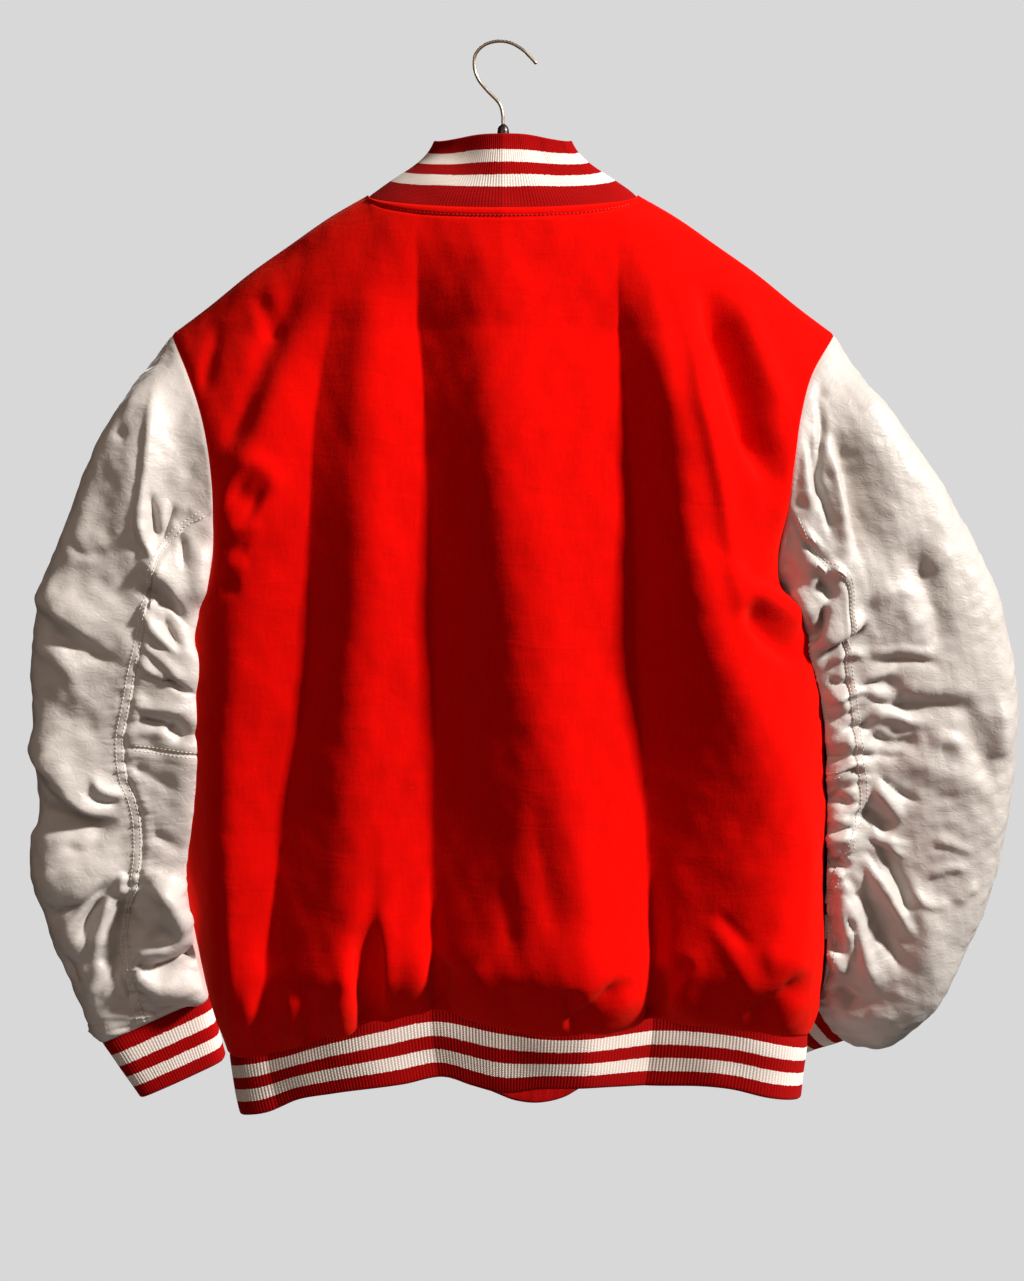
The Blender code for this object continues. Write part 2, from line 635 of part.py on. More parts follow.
def turned_rings(profile, segments):
    """Points round the vertical axis, one ring for each (radius, height) of the profile."""
    turns = [2 * math.pi * k / segments for k in range(segments)]
    return [(r * math.cos(turn), r * math.sin(turn), height) for r, height in profile for turn in turns]


def ring_faces(rings, segments):
    """Faces between rings that climb, seen from outside."""
    faces = []
    for ring in range(rings - 1):
        for k in range(segments):
            a, b = ring * segments + k, ring * segments + (k + 1) % segments
            faces.append((a, b, b + segments, a + segments))
    return faces


def add_snaps(front, normals, finish):
    """Domed snap caps down the left front's placket, seated on the cloth."""
    centre = 1  # the column on the centre line
    line, facings = front["grid"][:, centre], normals[:, centre]
    for number, drop in enumerate(SNAP_DROPS, 1):
        order = np.argsort(-line[:, 2])
        place = Vector([np.interp(drop, -line[order, 2], line[order, i]) for i in range(3)])
        out = Vector([np.interp(drop, -line[order, 2], facings[order, i]) for i in range(3)])
        out.normalize()
        profile = [(SNAP_RADIUS * reach, SNAP_RISE * rise) for reach, rise in SNAP_PROFILE]
        rings = turned_rings(profile, SNAP_SEGMENTS)
        points = rings + [(0, 0, SNAP_RISE)]
        faces = ring_faces(len(SNAP_PROFILE), SNAP_SEGMENTS)
        last = len(rings) - SNAP_SEGMENTS
        top = len(rings)
        faces += [(last + k, last + (k + 1) % SNAP_SEGMENTS, top) for k in range(SNAP_SEGMENTS)]
        faces.append(tuple(range(SNAP_SEGMENTS))[::-1])
        snap = add_mesh(f"snap_{number}", points, faces, finish["snap"])
        turned = out.to_track_quat("Z", "Y").to_matrix().to_4x4()
        snap.matrix_world = Matrix.Translation(place + out * SNAP_SEAT) @ turned


def add_hook(finish):
    wire = bpy.data.curves.new("hanger_hook", "CURVE")
    wire.dimensions = "3D"
    wire.bevel_depth = WIRE_RADIUS
    wire.bevel_resolution = 2
    wire.use_fill_caps = True
    knots = np.arange(len(HOOK["x"])) / (len(HOOK["x"]) - 1)
    at = np.linspace(0, 1, 40)
    x, drop = (smooth(at, knots, HOOK[name]) for name in ("x", "drop"))
    path = np.column_stack([x, np.zeros(len(at)), -drop])
    spline = wire.splines.new("POLY")
    spline.points.add(len(path) - 1)
    for point, place in zip(spline.points, path):
        point.co = (*place, 1)
    return add_object("hanger_hook", wire, finish["wire"])


def add_ferrule(finish):
    """The turned cap that the wire comes out of."""
    profile = [
        (1.0, FERRULE_BOTTOM - SEAM_GAP),
        (1.0, FERRULE_TOP + 6 * MM),
        (0.85, FERRULE_TOP + 3 * MM),
        (0.45, FERRULE_TOP + SEAM_GAP),
    ]
    points = turned_rings([(FERRULE_RADIUS * reach, -drop) for reach, drop in profile], FERRULE_SEGMENTS)
    faces = ring_faces(len(profile), FERRULE_SEGMENTS)
    faces.append(tuple(range(FERRULE_SEGMENTS))[::-1])
    faces.append(tuple(range(len(points) - FERRULE_SEGMENTS, len(points))))
    add_mesh("hanger_ferrule", points, faces, finish["cap"])


def add_bar(finish):
    """The shoulder bar: level under the ferrule, then sloping along the shoulder seams."""
    xs = BAR_TIP_X * np.sin(np.linspace(-math.pi / 2, math.pi / 2, BAR_SPANS + 1))
    under_seam = smooth(np.abs(xs), SHOULDER["x"], SHOULDER["drop"]) + BAR_SEAT
    bend = ease((np.abs(xs) - BAR_LEVEL) / BAR_BEND)
    top = FERRULE_BOTTOM * (1 - bend) + under_seam * bend
    depth = BAR_DEPTH_MIDDLE + (BAR_DEPTH_TIP - BAR_DEPTH_MIDDLE) * (np.abs(xs) / BAR_TIP_X)
    points, faces = [], []
    for x, drop, tall in zip(xs, top, depth):
        tip = math.sqrt(max(0.0, 1 - (abs(x) / (BAR_TIP_X + 4 * MM)) ** 40))
        for k in range(BAR_CORNERS):
            turn = 2 * math.pi * (k + 0.5) / BAR_CORNERS
            y = BAR_HALF_THICKNESS * tip * math.sin(turn)
            z = -drop - tall / 2 + tall / 2 * tip * math.cos(turn) / math.cos(math.pi / BAR_CORNERS)
            points.append((x, y, z))
    for i in range(BAR_SPANS):
        for k in range(BAR_CORNERS):
            a, b = i * BAR_CORNERS + k, i * BAR_CORNERS + (k + 1) % BAR_CORNERS
            faces.append((a, a + BAR_CORNERS, b + BAR_CORNERS, b))
    faces.append(tuple(range(BAR_CORNERS)))
    faces.append(tuple(range(BAR_SPANS * BAR_CORNERS, (BAR_SPANS + 1) * BAR_CORNERS))[::-1])
    add_mesh("hanger_bar", points, faces, finish["bar"])


def main():
    for old in list(bpy.data.objects):
        bpy.data.objects.remove(old)
    finish = {
        "wool": material("red_wool", (0.72, 0.010, 0.006), 0.95),
        "leather": material("white_leather", (0.80, 0.77, 0.73), 0.45),
        "rib": material("rib_knit", (0.55, 0.008, 0.010), 0.9),
        "snap": material("snap_metal", (0.75, 0.74, 0.72), 0.3, 1.0),
        "wire": material("hook_wire", (0.55, 0.48, 0.38), 0.35, 1.0),
        "cap": material("ferrule", (0.03, 0.02, 0.02), 0.4),
        "bar": material("dark_wood", (0.12, 0.06, 0.035), 0.5),
    }
    panels = body_panels(finish)
    panels.update(rib_panels(panels, finish))
    for hand in (1, -1):
        panels.update(sleeve_panels(panels, hand, finish))
    normals = seam_normals(panels)
    for name, panel in panels.items():
        cloth_wall(name, panel, normals[name])
    add_snaps(panels["front_left"], normals["front_left"], finish)
    add_hook(finish)
    add_ferrule(finish)
    add_bar(finish)


main()
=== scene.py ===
import json
import math

import bpy
import numpy as np
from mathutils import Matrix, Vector

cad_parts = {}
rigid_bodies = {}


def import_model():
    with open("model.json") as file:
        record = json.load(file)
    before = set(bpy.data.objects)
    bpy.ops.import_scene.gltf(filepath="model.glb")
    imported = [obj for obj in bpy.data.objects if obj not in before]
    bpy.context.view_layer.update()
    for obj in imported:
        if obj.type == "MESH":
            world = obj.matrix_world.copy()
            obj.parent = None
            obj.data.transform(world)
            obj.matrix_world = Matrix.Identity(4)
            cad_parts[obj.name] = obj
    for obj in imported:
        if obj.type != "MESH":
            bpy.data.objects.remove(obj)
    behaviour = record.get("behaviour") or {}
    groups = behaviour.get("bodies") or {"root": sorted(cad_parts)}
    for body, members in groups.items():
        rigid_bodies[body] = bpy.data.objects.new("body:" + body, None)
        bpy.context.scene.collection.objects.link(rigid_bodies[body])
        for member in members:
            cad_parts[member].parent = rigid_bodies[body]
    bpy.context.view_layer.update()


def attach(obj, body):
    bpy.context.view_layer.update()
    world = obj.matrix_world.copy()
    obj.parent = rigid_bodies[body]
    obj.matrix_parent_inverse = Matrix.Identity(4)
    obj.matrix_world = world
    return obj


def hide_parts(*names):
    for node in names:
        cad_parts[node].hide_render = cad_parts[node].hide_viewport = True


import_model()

mm = 0.001

# A varsity jacket hung on a hanger. Metres, +Z up, the wearer's front faces -Y and the wearer's left is +X.
# Tables are in millimetres. A drop is a height below the peg, so it grows downwards.


def table(names, *rows):  # rows of millimetres, read as named columns in metres
    return dict(zip(names.split(), np.array(rows, float).T * mm))


# Places are given as (right, down) in the camera's own frame, 1024 wide and 1281 high. A step there is 0.85
# mm at the peg, and (away - depth) / away of that on cloth that stands out to the back by depth. The peg is
# given in steps, and the eye, its distance away and every depth in millimetres.
sight = dict(step=0.85, pegRight=503, pegDown=43, eyeX=-7.65, eyeDrop=508, away=2600)


def nearness(depth):
    return (sight["away"] - depth) / sight["away"]


def sightedX(right, depth):  # eye + ((peg - right) step - eye) nearness, to the nearest millimetre
    return round(sight["eyeX"] + ((sight["pegRight"] - right) * sight["step"] - sight["eyeX"])
                 * nearness(depth))


def sightedDrop(down, depth):  # the same downwards
    return round(sight["eyeDrop"] + ((down - sight["pegDown"]) * sight["step"] - sight["eyeDrop"])
                 * nearness(depth))


# Creases with their widths and points turned from steps of the frame into millimetres
def sighted(depth, creases):
    return [(relief, round(width * sight["step"] * nearness(depth), 1), steep,
             *[(sightedX(right, depth), sightedDrop(down, depth)) for right, down in line])
            for relief, width, steep, *line in creases]


def track(*rights):  # x at each of the folds' drops, on cloth that stands out by 95 mm
    return [sightedX(right, 95) for right in rights]


# The cubic through (knots, values) with mean slopes, held flat past its ends
def smoothCurve(at, knots, values):
    at = np.clip(at, knots[0], knots[-1])
    slopes = np.gradient(values, knots, axis=0)
    i = np.clip(np.searchsorted(knots, at, side="right") - 1, 0, len(knots) - 2)
    step = knots[i + 1] - knots[i]
    t = (at - knots[i]) / step
    if np.ndim(values) > 1:
        step, t = (np.reshape(a, np.shape(a) + (1,) * (np.ndim(values) - 1)) for a in (step, t))
    return (values[i] * (1 + 2 * t) * (1 - t) ** 2 + slopes[i] * step * t * (1 - t) ** 2
            + values[i + 1] * t ** 2 * (3 - 2 * t) - slopes[i + 1] * step * t ** 2 * (1 - t))


def easeIn(t):  # 0 up to t = 0, 1 from t = 1, 3t^2 - 2t^3 between
    t = np.clip(t, 0, 1)
    return t * t * (3 - 2 * t)


def unit(v):  # v over its own length
    return v / np.maximum(np.linalg.norm(v, axis=-1, keepdims=True), 1e-12)


def gridNormals(grid, closed):  # round the piece crossed with up it: points outwards
    across = np.roll(grid, -1, axis=1) - np.roll(grid, 1, axis=1) if closed else np.gradient(grid, axis=1)
    return unit(np.cross(across, np.gradient(grid, axis=0)))


def ripples(points, size, seed):
    # A sum of 14 plane waves of about one wavelength, in directions from a fixed seed.
    draw = np.random.default_rng(seed)
    turns = unit(draw.normal(size=(14, 3))) * (2 * math.pi / (size * draw.uniform(0.7, 1.5, 14)))[:, None]
    return np.sin(points @ turns.T + draw.uniform(0, 6.28, 14)).sum(axis=-1) / 3.7


# Creases: each row is (relief, width, steepness, (x, drop), ...), in millimetres. The line runs smoothly
# through its points. Relief falls off as exp(-(gap/width)^2), eases to nothing at both ends, and above zero
# is a ridge. A steep crease is narrower on the right of its line, seen from behind, and leans over there.
# Those inside sighted() have widths and points in steps of the frame.
creaseShape = dict(spans=24, reach=2.6, lean=0.55, ends=0.3, least=0.01, facing={1: 1.0, -1: 0.15})


def addCreases(grid, closed, creases, side, fade):
    look, spans, lean = creaseShape, creaseShape["spans"], creaseShape["lean"]
    normals = gridNormals(grid, closed)
    facing = easeIn(side * normals[..., 1] / 0.5 + look["facing"][side]) * fade
    spots = np.stack([-grid[..., 0], -grid[..., 2]], axis=-1)  # to the right and down, seen from behind
    moved = np.zeros_like(grid)
    for relief, width, steep, *line in creases:
        line = np.array(line, float) * mm * [-1, 1]
        line = smoothCurve(np.linspace(0, 1, spans + 1), np.linspace(0, 1, len(line)), line)
        reach = look["reach"] * width * (1 + 0.6 * abs(steep)) * mm
        inBox = (spots > line.min(axis=0) - reach) & (spots < line.max(axis=0) + reach)
        near = inBox.all(axis=-1) & (facing > look["least"])
        if not near.any():
            continue
        run = line[1:] - line[:-1]
        off = spots[near][:, None, :] - line[:-1]
        along = np.clip((off * run).sum(-1) / (run * run).sum(-1), 0, 1)
        gap = off - along[..., None] * run
        distance = np.linalg.norm(gap, axis=-1)
        pick = distance.argmin(axis=1)
        rows = np.arange(len(pick))
        distance, along = distance[rows, pick], (pick + along[rows, pick]) / spans
        run = unit(run[pick])
        right = np.sign(run[:, 0] * gap[rows, pick, 1] - run[:, 1] * gap[rows, pick, 0])
        spread = width * mm * np.where(right > 0, 1 - lean * steep, 1 + lean * steep)
        shape = (np.exp(-((distance / spread) ** 2)) * easeIn(along / look["ends"])
                 * easeIn((1 - along) / look["ends"]))
        shape = shape * relief * mm * facing[near]
        # Right of the line, as x, y, z
        sideways = np.stack([run[:, 1], np.zeros(len(run)), -run[:, 0]], axis=-1)
        n = normals[near]
        sideways = sideways - n * (sideways * n).sum(-1, keepdims=True)
        moved[near] += n * shape[:, None] + sideways * (lean * steep * np.abs(shape))[:, None]
    return grid + moved


# The quads of a grid, and the row and column of each corner
def gridFaces(rows, columns, closed, first=0, flip=False):
    c, r = np.meshgrid(np.arange(columns if closed else columns - 1), np.arange(rows - 1))
    c, r = c.ravel(), r.ravel()
    nextC = (c + 1) % columns
    low, high = r * columns, (r + 1) * columns
    faces = np.stack([low + c, low + nextC, high + nextC, high + c], axis=1)
    cells = np.stack([np.stack(cell, 1) for cell in ((r, c), (r, c + 1), (r + 1, c + 1), (r + 1, c))], axis=1)
    if flip:
        faces, cells = faces[:, ::-1], cells[:, ::-1]
    return faces + first, cells


def makeMesh(name, points, faceSets, finish, uvs=None, relief=None, sharp=70):
    # One piece from its points and its faces, given as arrays of faces with the same number of corners.
    mesh = bpy.data.meshes.new(name)
    sizes = np.concatenate([np.full(len(f), f.shape[1]) for f in faceSets])
    corners = np.concatenate([f.ravel() for f in faceSets]).astype(np.int32)
    mesh.vertices.add(len(points))
    mesh.vertices.foreach_set("co", np.ascontiguousarray(points, np.float32).ravel())
    mesh.loops.add(len(corners))
    mesh.loops.foreach_set("vertex_index", corners)
    mesh.polygons.add(len(sizes))
    mesh.polygons.foreach_set("loop_start", np.concatenate([[0], np.cumsum(sizes)[:-1]]).astype(np.int32))
    mesh.update(calc_edges=True)
    mesh.validate()
    if uvs is not None:
        layer = mesh.uv_layers.new(name="cloth")
        layer.data.foreach_set("uv", np.ascontiguousarray(uvs, np.float32).ravel())
    if relief is not None:
        layer = mesh.attributes.new("relief", "FLOAT", "POINT")
        layer.data.foreach_set("value", np.ascontiguousarray(relief, np.float32))
    mesh.shade_smooth()
    if sharp:
        mesh.set_sharp_from_angle(angle=math.radians(sharp))
    mesh.materials.append(finish)
    made = bpy.data.objects.new(name, mesh)
    bpy.context.scene.collection.objects.link(made)
    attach(made, "root")
    return made


# Axis, border, and its neighbour
edges = dict(low=(0, 0, 1), high=(0, -1, -2), first=(1, 0, 1), last=(1, -1, -2))
roundness = 0.9 * mm  # of a free edge


def clothWall(name, outer, thickness, closed, finish, uv=None, relief=None, coarse=2, freeEdges=()):
    # The outer grid, a coarser inner grid moved in by the cloth's thickness, and a rim with a middle ring
    # between them. At a free edge that ring bulges outwards, so that the edge reads as folded cloth.
    rows, columns = outer.shape[:2]
    thinned = outer[::coarse, ::coarse]
    inner = thinned - gridNormals(outer, closed)[::coarse, ::coarse] * thickness
    innerRows, innerColumns = inner.shape[:2]
    under = rows * columns
    rim = np.zeros((innerRows, innerColumns), bool)
    rim[[0, -1]] = True
    if not closed:
        rim[:, [0, -1]] = True
    middle = (thinned + inner) / 2
    for axis, edge, inside in (edges[key] for key in freeEdges):
        outward = unit(outer.take(edge, axis) - outer.take(inside, axis))[::coarse] * roundness
        if axis == 0:
            middle[edge] += outward
        else:
            middle[:, edge] += outward
    middleAt = np.zeros(rim.shape, int)
    middleAt[rim] = under + innerRows * innerColumns + np.arange(rim.sum())
    points = np.concatenate([outer.reshape(-1, 3), inner.reshape(-1, 3), middle[rim]])
    faces, cells = gridFaces(rows, columns, closed)
    inFaces, inCells = gridFaces(innerRows, innerColumns, closed, under, True)
    quads, quadCells, wide, wideCells = [faces, inFaces], [cells, inCells * coarse], [], []

    def addRim(r, c, turned):  # strips from the outer border to the middle ring, and on to the inner border
        ends = slice(None, None, coarse)
        lowR, lowC = r[:, ends] // coarse, c[:, ends] // coarse % innerColumns
        mids, inside = middleAt[lowR, lowC], under + lowR * innerColumns + lowC
        here = np.stack([r, c], axis=-1)
        order = slice(None, None, -1 if turned else 1)
        wide.append(np.concatenate([r * columns + c % columns, mids[:, ::-1]], axis=1)[:, order])
        wideCells.append(np.concatenate([here, here[:, [-1, 0]]], axis=1)[:, order])
        quads.append(np.concatenate([mids, inside[:, ::-1]], axis=1)[:, order])
        quadCells.append(here[:, [0, -1, -1, 0]][:, order])

    steps = np.arange(coarse + 1)
    spans = np.arange(innerColumns if closed else innerColumns - 1)[:, None] * coarse + steps
    addRim(0 * spans, spans, True)
    addRim(0 * spans + rows - 1, spans, False)
    if not closed:
        spans = np.arange(innerRows - 1)[:, None] * coarse + steps
        addRim(spans, 0 * spans, False)
        addRim(spans, 0 * spans + columns - 1, True)
    uvs = None
    if uv is not None:  # given on the outer grid, with one more column where the grid is closed
        at = np.concatenate([np.concatenate(quadCells).reshape(-1, 2),
                             np.concatenate(wideCells).reshape(-1, 2)])
        uvs = uv[at[:, 0], at[:, 1]]
    if relief is not None:
        thin = relief[::coarse, ::coarse]
        relief = np.concatenate([relief.ravel(), thin.ravel(), thin[rim]])
    return makeMesh(name, points, [np.concatenate(quads), np.concatenate(wide)], finish, uvs, relief)


def newMaterial(name, colour, roughness, metallic=0.0, sheen=0.0, sheenTint=None, specular=None, coat=0.0):
    # A material with one principled shader, its node tree and that shader.
    made = bpy.data.materials.new(name)
    made.use_nodes = True
    shader = made.node_tree.nodes["Principled BSDF"]
    shader.inputs["Base Color"].default_value = (*colour, 1)
    shader.inputs["Roughness"].default_value = roughness
    shader.inputs["Metallic"].default_value = metallic
    shader.inputs["Sheen Weight"].default_value = sheen
    shader.inputs["Coat Weight"].default_value = coat
    if sheenTint:
        shader.inputs["Sheen Tint"].default_value = (*sheenTint, 1)
        shader.inputs["Sheen Roughness"].default_value = 0.6
    if specular is not None:
        shader.inputs["Specular IOR Level"].default_value = specular
    made.diffuse_color = (*colour, 1)
    return made, made.node_tree, shader


def addNode(tree, kind, links=None, **values):  # a node with its settings and what is linked into it
    node = tree.nodes.new(kind)
    for key, value in values.items():
        setattr(node, key, value)
    for key, source in (links or {}).items():
        tree.links.new(source, node.inputs[key])
    return node


def mapped(tree, scale=(1, 1, 1), turn=(0, 0, 0)):  # Object coordinates, stretched or turned
    node = addNode(tree, "ShaderNodeMapping",
                   {"Vector": addNode(tree, "ShaderNodeTexCoord").outputs["Object"]})
    node.inputs["Scale"].default_value = scale
    node.inputs["Rotation"].default_value = turn
    return node.outputs["Vector"]


def noise(tree, scale, detail=3.0, roughness=0.5, vector=None, distortion=0.0):
    # Fractal noise over Object coordinates, with that many cells to a metre.
    node = addNode(tree, "ShaderNodeTexNoise", {"Vector": vector or mapped(tree)})
    node.inputs["Scale"].default_value = scale
    node.inputs["Detail"].default_value = detail
    node.inputs["Roughness"].default_value = roughness
    node.inputs["Distortion"].default_value = distortion
    return node.outputs["Fac"]


def ramp(tree, factor, *stops):  # stops are (place, grey or colour)
    node = addNode(tree, "ShaderNodeValToRGB", {"Fac": factor})
    for i, (place, value) in enumerate(stops):
        stop = node.color_ramp.elements[i] if i < 2 else node.color_ramp.elements.new(place)
        stop.position = place
        stop.color = (*value, 1) if hasattr(value, "__len__") else (value, value, value, 1)
    return node.outputs["Color"]


# Each pair is a socket's number and what goes in: another socket, a number or a colour
def feed(tree, node, *pairs):
    for socket, value in pairs:
        if hasattr(value, "is_output"):
            tree.links.new(value, node.inputs[socket])
        else:
            node.inputs[socket].default_value = (*value, 1) if hasattr(value, "__len__") else value


def mixColour(tree, factor, a, b, blend="MIX"):  # a (1 - factor) + b factor, or a b when multiplied in full
    node = addNode(tree, "ShaderNodeMix", data_type="RGBA", blend_type=blend)
    feed(tree, node, (0, factor), (6, a), (7, b))
    return node.outputs[2]


def math2(tree, operation, a, b=0.0):  # one sum of two numbers
    node = addNode(tree, "ShaderNodeMath", operation=operation)
    feed(tree, node, (0, a), (1, b))
    return node.outputs[0]


def bumpInto(tree, shader, *layers):  # layers are (height, strength, distance in metres), the first the finest
    normal = None
    for height, strength, distance in layers:
        node = addNode(tree, "ShaderNodeBump", {"Height": height})
        node.inputs["Strength"].default_value = strength
        node.inputs["Distance"].default_value = distance
        if normal is not None:
            tree.links.new(normal, node.inputs["Normal"])
        normal = node.outputs["Normal"]
    tree.links.new(normal, shader.inputs["Normal"])


# Melton wool: felted fibres as fine noise, a slant nap as stretched noise, and a red that is duller where
# fibres lie flat.
woolLook = dict(red=(0.66, 0.0010, 0.0005), deep=(0.60, 0.0008, 0.0003), lint=(0.9, 0.02, 0.012),
                roughness=0.95,
                sheen=0.12, sheenTint=(1.0, 0.14, 0.06), fuzz=900.0, nap=260.0, pressed=42.0, lintSize=330.0)


def woolMaterial():  # red mixed by the nap, with pale lint where a fine noise peaks
    look = woolLook
    made, tree, shader = newMaterial("meltonWool", look["red"], look["roughness"], sheen=look["sheen"],
                                     sheenTint=look["sheenTint"], specular=0.02)
    fuzz = noise(tree, look["fuzz"], 4.0, 0.65)
    nap = noise(tree, look["nap"], 3.0, 0.6, mapped(tree, (1.0, 1.0, 0.32), (0, 0.5, 0)))
    pressed = noise(tree, look["pressed"], 3.0, 0.55, mapped(tree, (0.35, 1.0, 1.5), (0, 0.35, 0)), 0.6)
    mottled = ramp(tree, nap, (0.30, 0.0), (0.72, 1.0))
    shade = mixColour(tree, mottled, look["deep"], look["red"])
    lint = ramp(tree, noise(tree, look["lintSize"], 2.0, 0.5), (0.70, 0.0), (0.80, 0.22))
    tree.links.new(mixColour(tree, lint, shade, look["lint"]), shader.inputs["Base Color"])
    bumpInto(tree, shader, (fuzz, 0.35, 0.5 * mm), (nap, 0.30, 0.7 * mm), (pressed, 0.35, 2.0 * mm))
    return made


# Leather: a pebbled grain, fine crinkles that run across the pull, and painted shade, a darker and warmer
# surface, in its hollows.
leatherLook = dict(white=(0.47, 0.442, 0.42), hollowShade=(0.37, 0.325, 0.295), veins=(0.50, 0.44, 0.40),
                   roughness=0.46,
                   specular=0.42, grain=1500.0, crinkle=95.0, soft=30.0, hollowShadeShare=0.55, veinShare=0.16)


def leatherMaterial():  # white mixed by depth towards a darker, warmer painted shade, then towards the veins' colour
    look = leatherLook
    made, tree, shader = newMaterial("whiteLeather", look["white"], look["roughness"],
                                     specular=look["specular"])
    cells = addNode(tree, "ShaderNodeTexVoronoi", {"Vector": mapped(tree)}, feature="DISTANCE_TO_EDGE")
    cells.inputs["Scale"].default_value = look["grain"] * 0.45
    pores = noise(tree, look["grain"], 2.0, 0.5)
    crinkle = noise(tree, look["crinkle"], 5.0, 0.62, mapped(tree, (1.0, 1.0, 1.7)), 1.2)
    soft = noise(tree, look["soft"], 3.0, 0.5, None, 0.8)
    relief = addNode(tree, "ShaderNodeAttribute", attribute_name="relief",
                     attribute_type="GEOMETRY").outputs["Fac"]
    # Painted shade: where the relief attribute is low, in the hollows, the white is mixed towards a darker,
    # warmer tone.
    hollow = ramp(tree, relief, (0.25, 1.0), (0.50, 0.0))
    shadedTone = mixColour(tree, math2(tree, "MULTIPLY", hollow, look["hollowShadeShare"]), look["white"], look["hollowShade"])
    veined = ramp(tree, crinkle, (0.36, 1.0), (0.50, 0.0))
    shadedTone = mixColour(tree, math2(tree, "MULTIPLY", veined, look["veinShare"]), shadedTone, look["veins"])
    tree.links.new(shadedTone, shader.inputs["Base Color"])
    tree.links.new(ramp(tree, soft, (0.3, 0.40), (0.7, 0.56)), shader.inputs["Roughness"])
    bumpInto(tree, shader, (pores, 0.12, 0.15 * mm), (cells.outputs["Distance"], 0.15, 0.25 * mm),
             (crinkle, 0.42, 1.6 * mm), (soft, 0.30, 3.0 * mm))
    return made


# Rib knit: uv holds millimetres round the band and up from its free edge. Stripes are bands of the second
# number, each knit stitch is a small slanted loop, two to a rib, and shade is painted once per rib.
ribLook = dict(red=(0.38, 0.0012, 0.0016), white=(0.86, 0.77, 0.71), roughness=0.92, sheen=0.04,
               sheenTint=(1.0, 0.5, 0.45), loop=1.35, yarn=700.0, ragged=1.6)


def ribMaterial(name, stripes, pitch):  # red or white by height, times a cosine across the ribs that paints shade once per rib
    look = ribLook
    made, tree, shader = newMaterial(name, look["red"], look["roughness"], sheen=look["sheen"],
                                     sheenTint=look["sheenTint"], specular=0.03)
    spot = addNode(tree, "ShaderNodeUVMap", uv_map="cloth").outputs["UV"]
    split = addNode(tree, "ShaderNodeSeparateXYZ", {"Vector": spot})
    across, up = split.outputs["X"], split.outputs["Y"]
    wobble = math2(tree, "MULTIPLY", math2(tree, "SUBTRACT", noise(tree, 420.0, 2.0, 0.5), 0.5),
                   look["ragged"])
    height = math2(tree, "ADD", up, wobble)
    inside = None
    for low, high in stripes:
        above, beneath = math2(tree, "GREATER_THAN", height, low), math2(tree, "LESS_THAN", height, high)
        band = math2(tree, "MULTIPLY", above, beneath)
        inside = band if inside is None else math2(tree, "ADD", inside, band)
    yarn = noise(tree, look["yarn"], 2.0, 0.6)
    red = mixColour(tree, yarn, look["red"], tuple(0.62 * c for c in look["red"]))
    white = mixColour(tree, yarn, look["white"], tuple(0.80 * c for c in look["white"]))
    # Painted shade: a cosine across the ribs multiplies the colour down to 0.8 once per rib, as shade between
    # them.
    groove = math2(tree, "COSINE", math2(tree, "MULTIPLY", across, 2 * math.pi / pitch))
    groove = ramp(tree, math2(tree, "MULTIPLY_ADD", groove, 0.5), (0.0, 0.80), (0.55, 1.0))
    stripesAndShade = mixColour(tree, 1.0, mixColour(tree, inside, red, white), groove, "MULTIPLY")
    tree.links.new(stripesAndShade, shader.inputs["Base Color"])
    inRib = math2(tree, "FRACT", math2(tree, "MULTIPLY", across, 1 / pitch))
    slant = math2(tree, "MULTIPLY", math2(tree, "ABSOLUTE", math2(tree, "SUBTRACT", inRib, 0.5)), 1.2)
    row = math2(tree, "ADD", math2(tree, "MULTIPLY", up, 1 / look["loop"]), slant)
    loops = math2(tree, "SINE", math2(tree, "MULTIPLY", row, 2 * math.pi))
    bumpInto(tree, shader, (yarn, 0.3, 0.3 * mm), (loops, 0.35, 0.25 * mm))
    return made


def metalMaterial(name, colour, roughness, worn):  # colour and gloss change where fine noise has rubbed it
    made, tree, shader = newMaterial(name, colour, roughness, 1.0)
    rubbed = noise(tree, 260.0, 4.0, 0.6)
    shade = mixColour(tree, ramp(tree, rubbed, (0.42, 0.0), (0.66, 1.0)), colour, worn)
    tree.links.new(shade, shader.inputs["Base Color"])
    gloss = ramp(tree, rubbed, (0.3, roughness - 0.08), (0.7, roughness + 0.14))
    tree.links.new(gloss, shader.inputs["Roughness"])
    bumpInto(tree, shader, (noise(tree, 1400.0), 0.08, 0.1 * mm))
    return made


def woodMaterial():  # rings along the bar, in two browns
    made, tree, shader = newMaterial("stainedWood", (0.10, 0.045, 0.025), 0.42, coat=0.25)
    grain = addNode(tree, "ShaderNodeTexWave", {"Vector": mapped(tree, (0.12, 1.0, 1.0))}, wave_type="RINGS",
                    rings_direction="X")
    for key, value in (("Scale", 160.0), ("Distortion", 5.0), ("Detail", 3.0), ("Detail Scale", 1.5)):
        grain.inputs[key].default_value = value
    browns = ramp(tree, grain.outputs["Fac"], (0.1, (0.16, 0.075, 0.035)), (0.8, (0.055, 0.024, 0.014)))
    tree.links.new(browns, shader.inputs["Base Color"])
    bumpInto(tree, shader, (grain.outputs["Fac"], 0.1, 0.2 * mm))
    return made


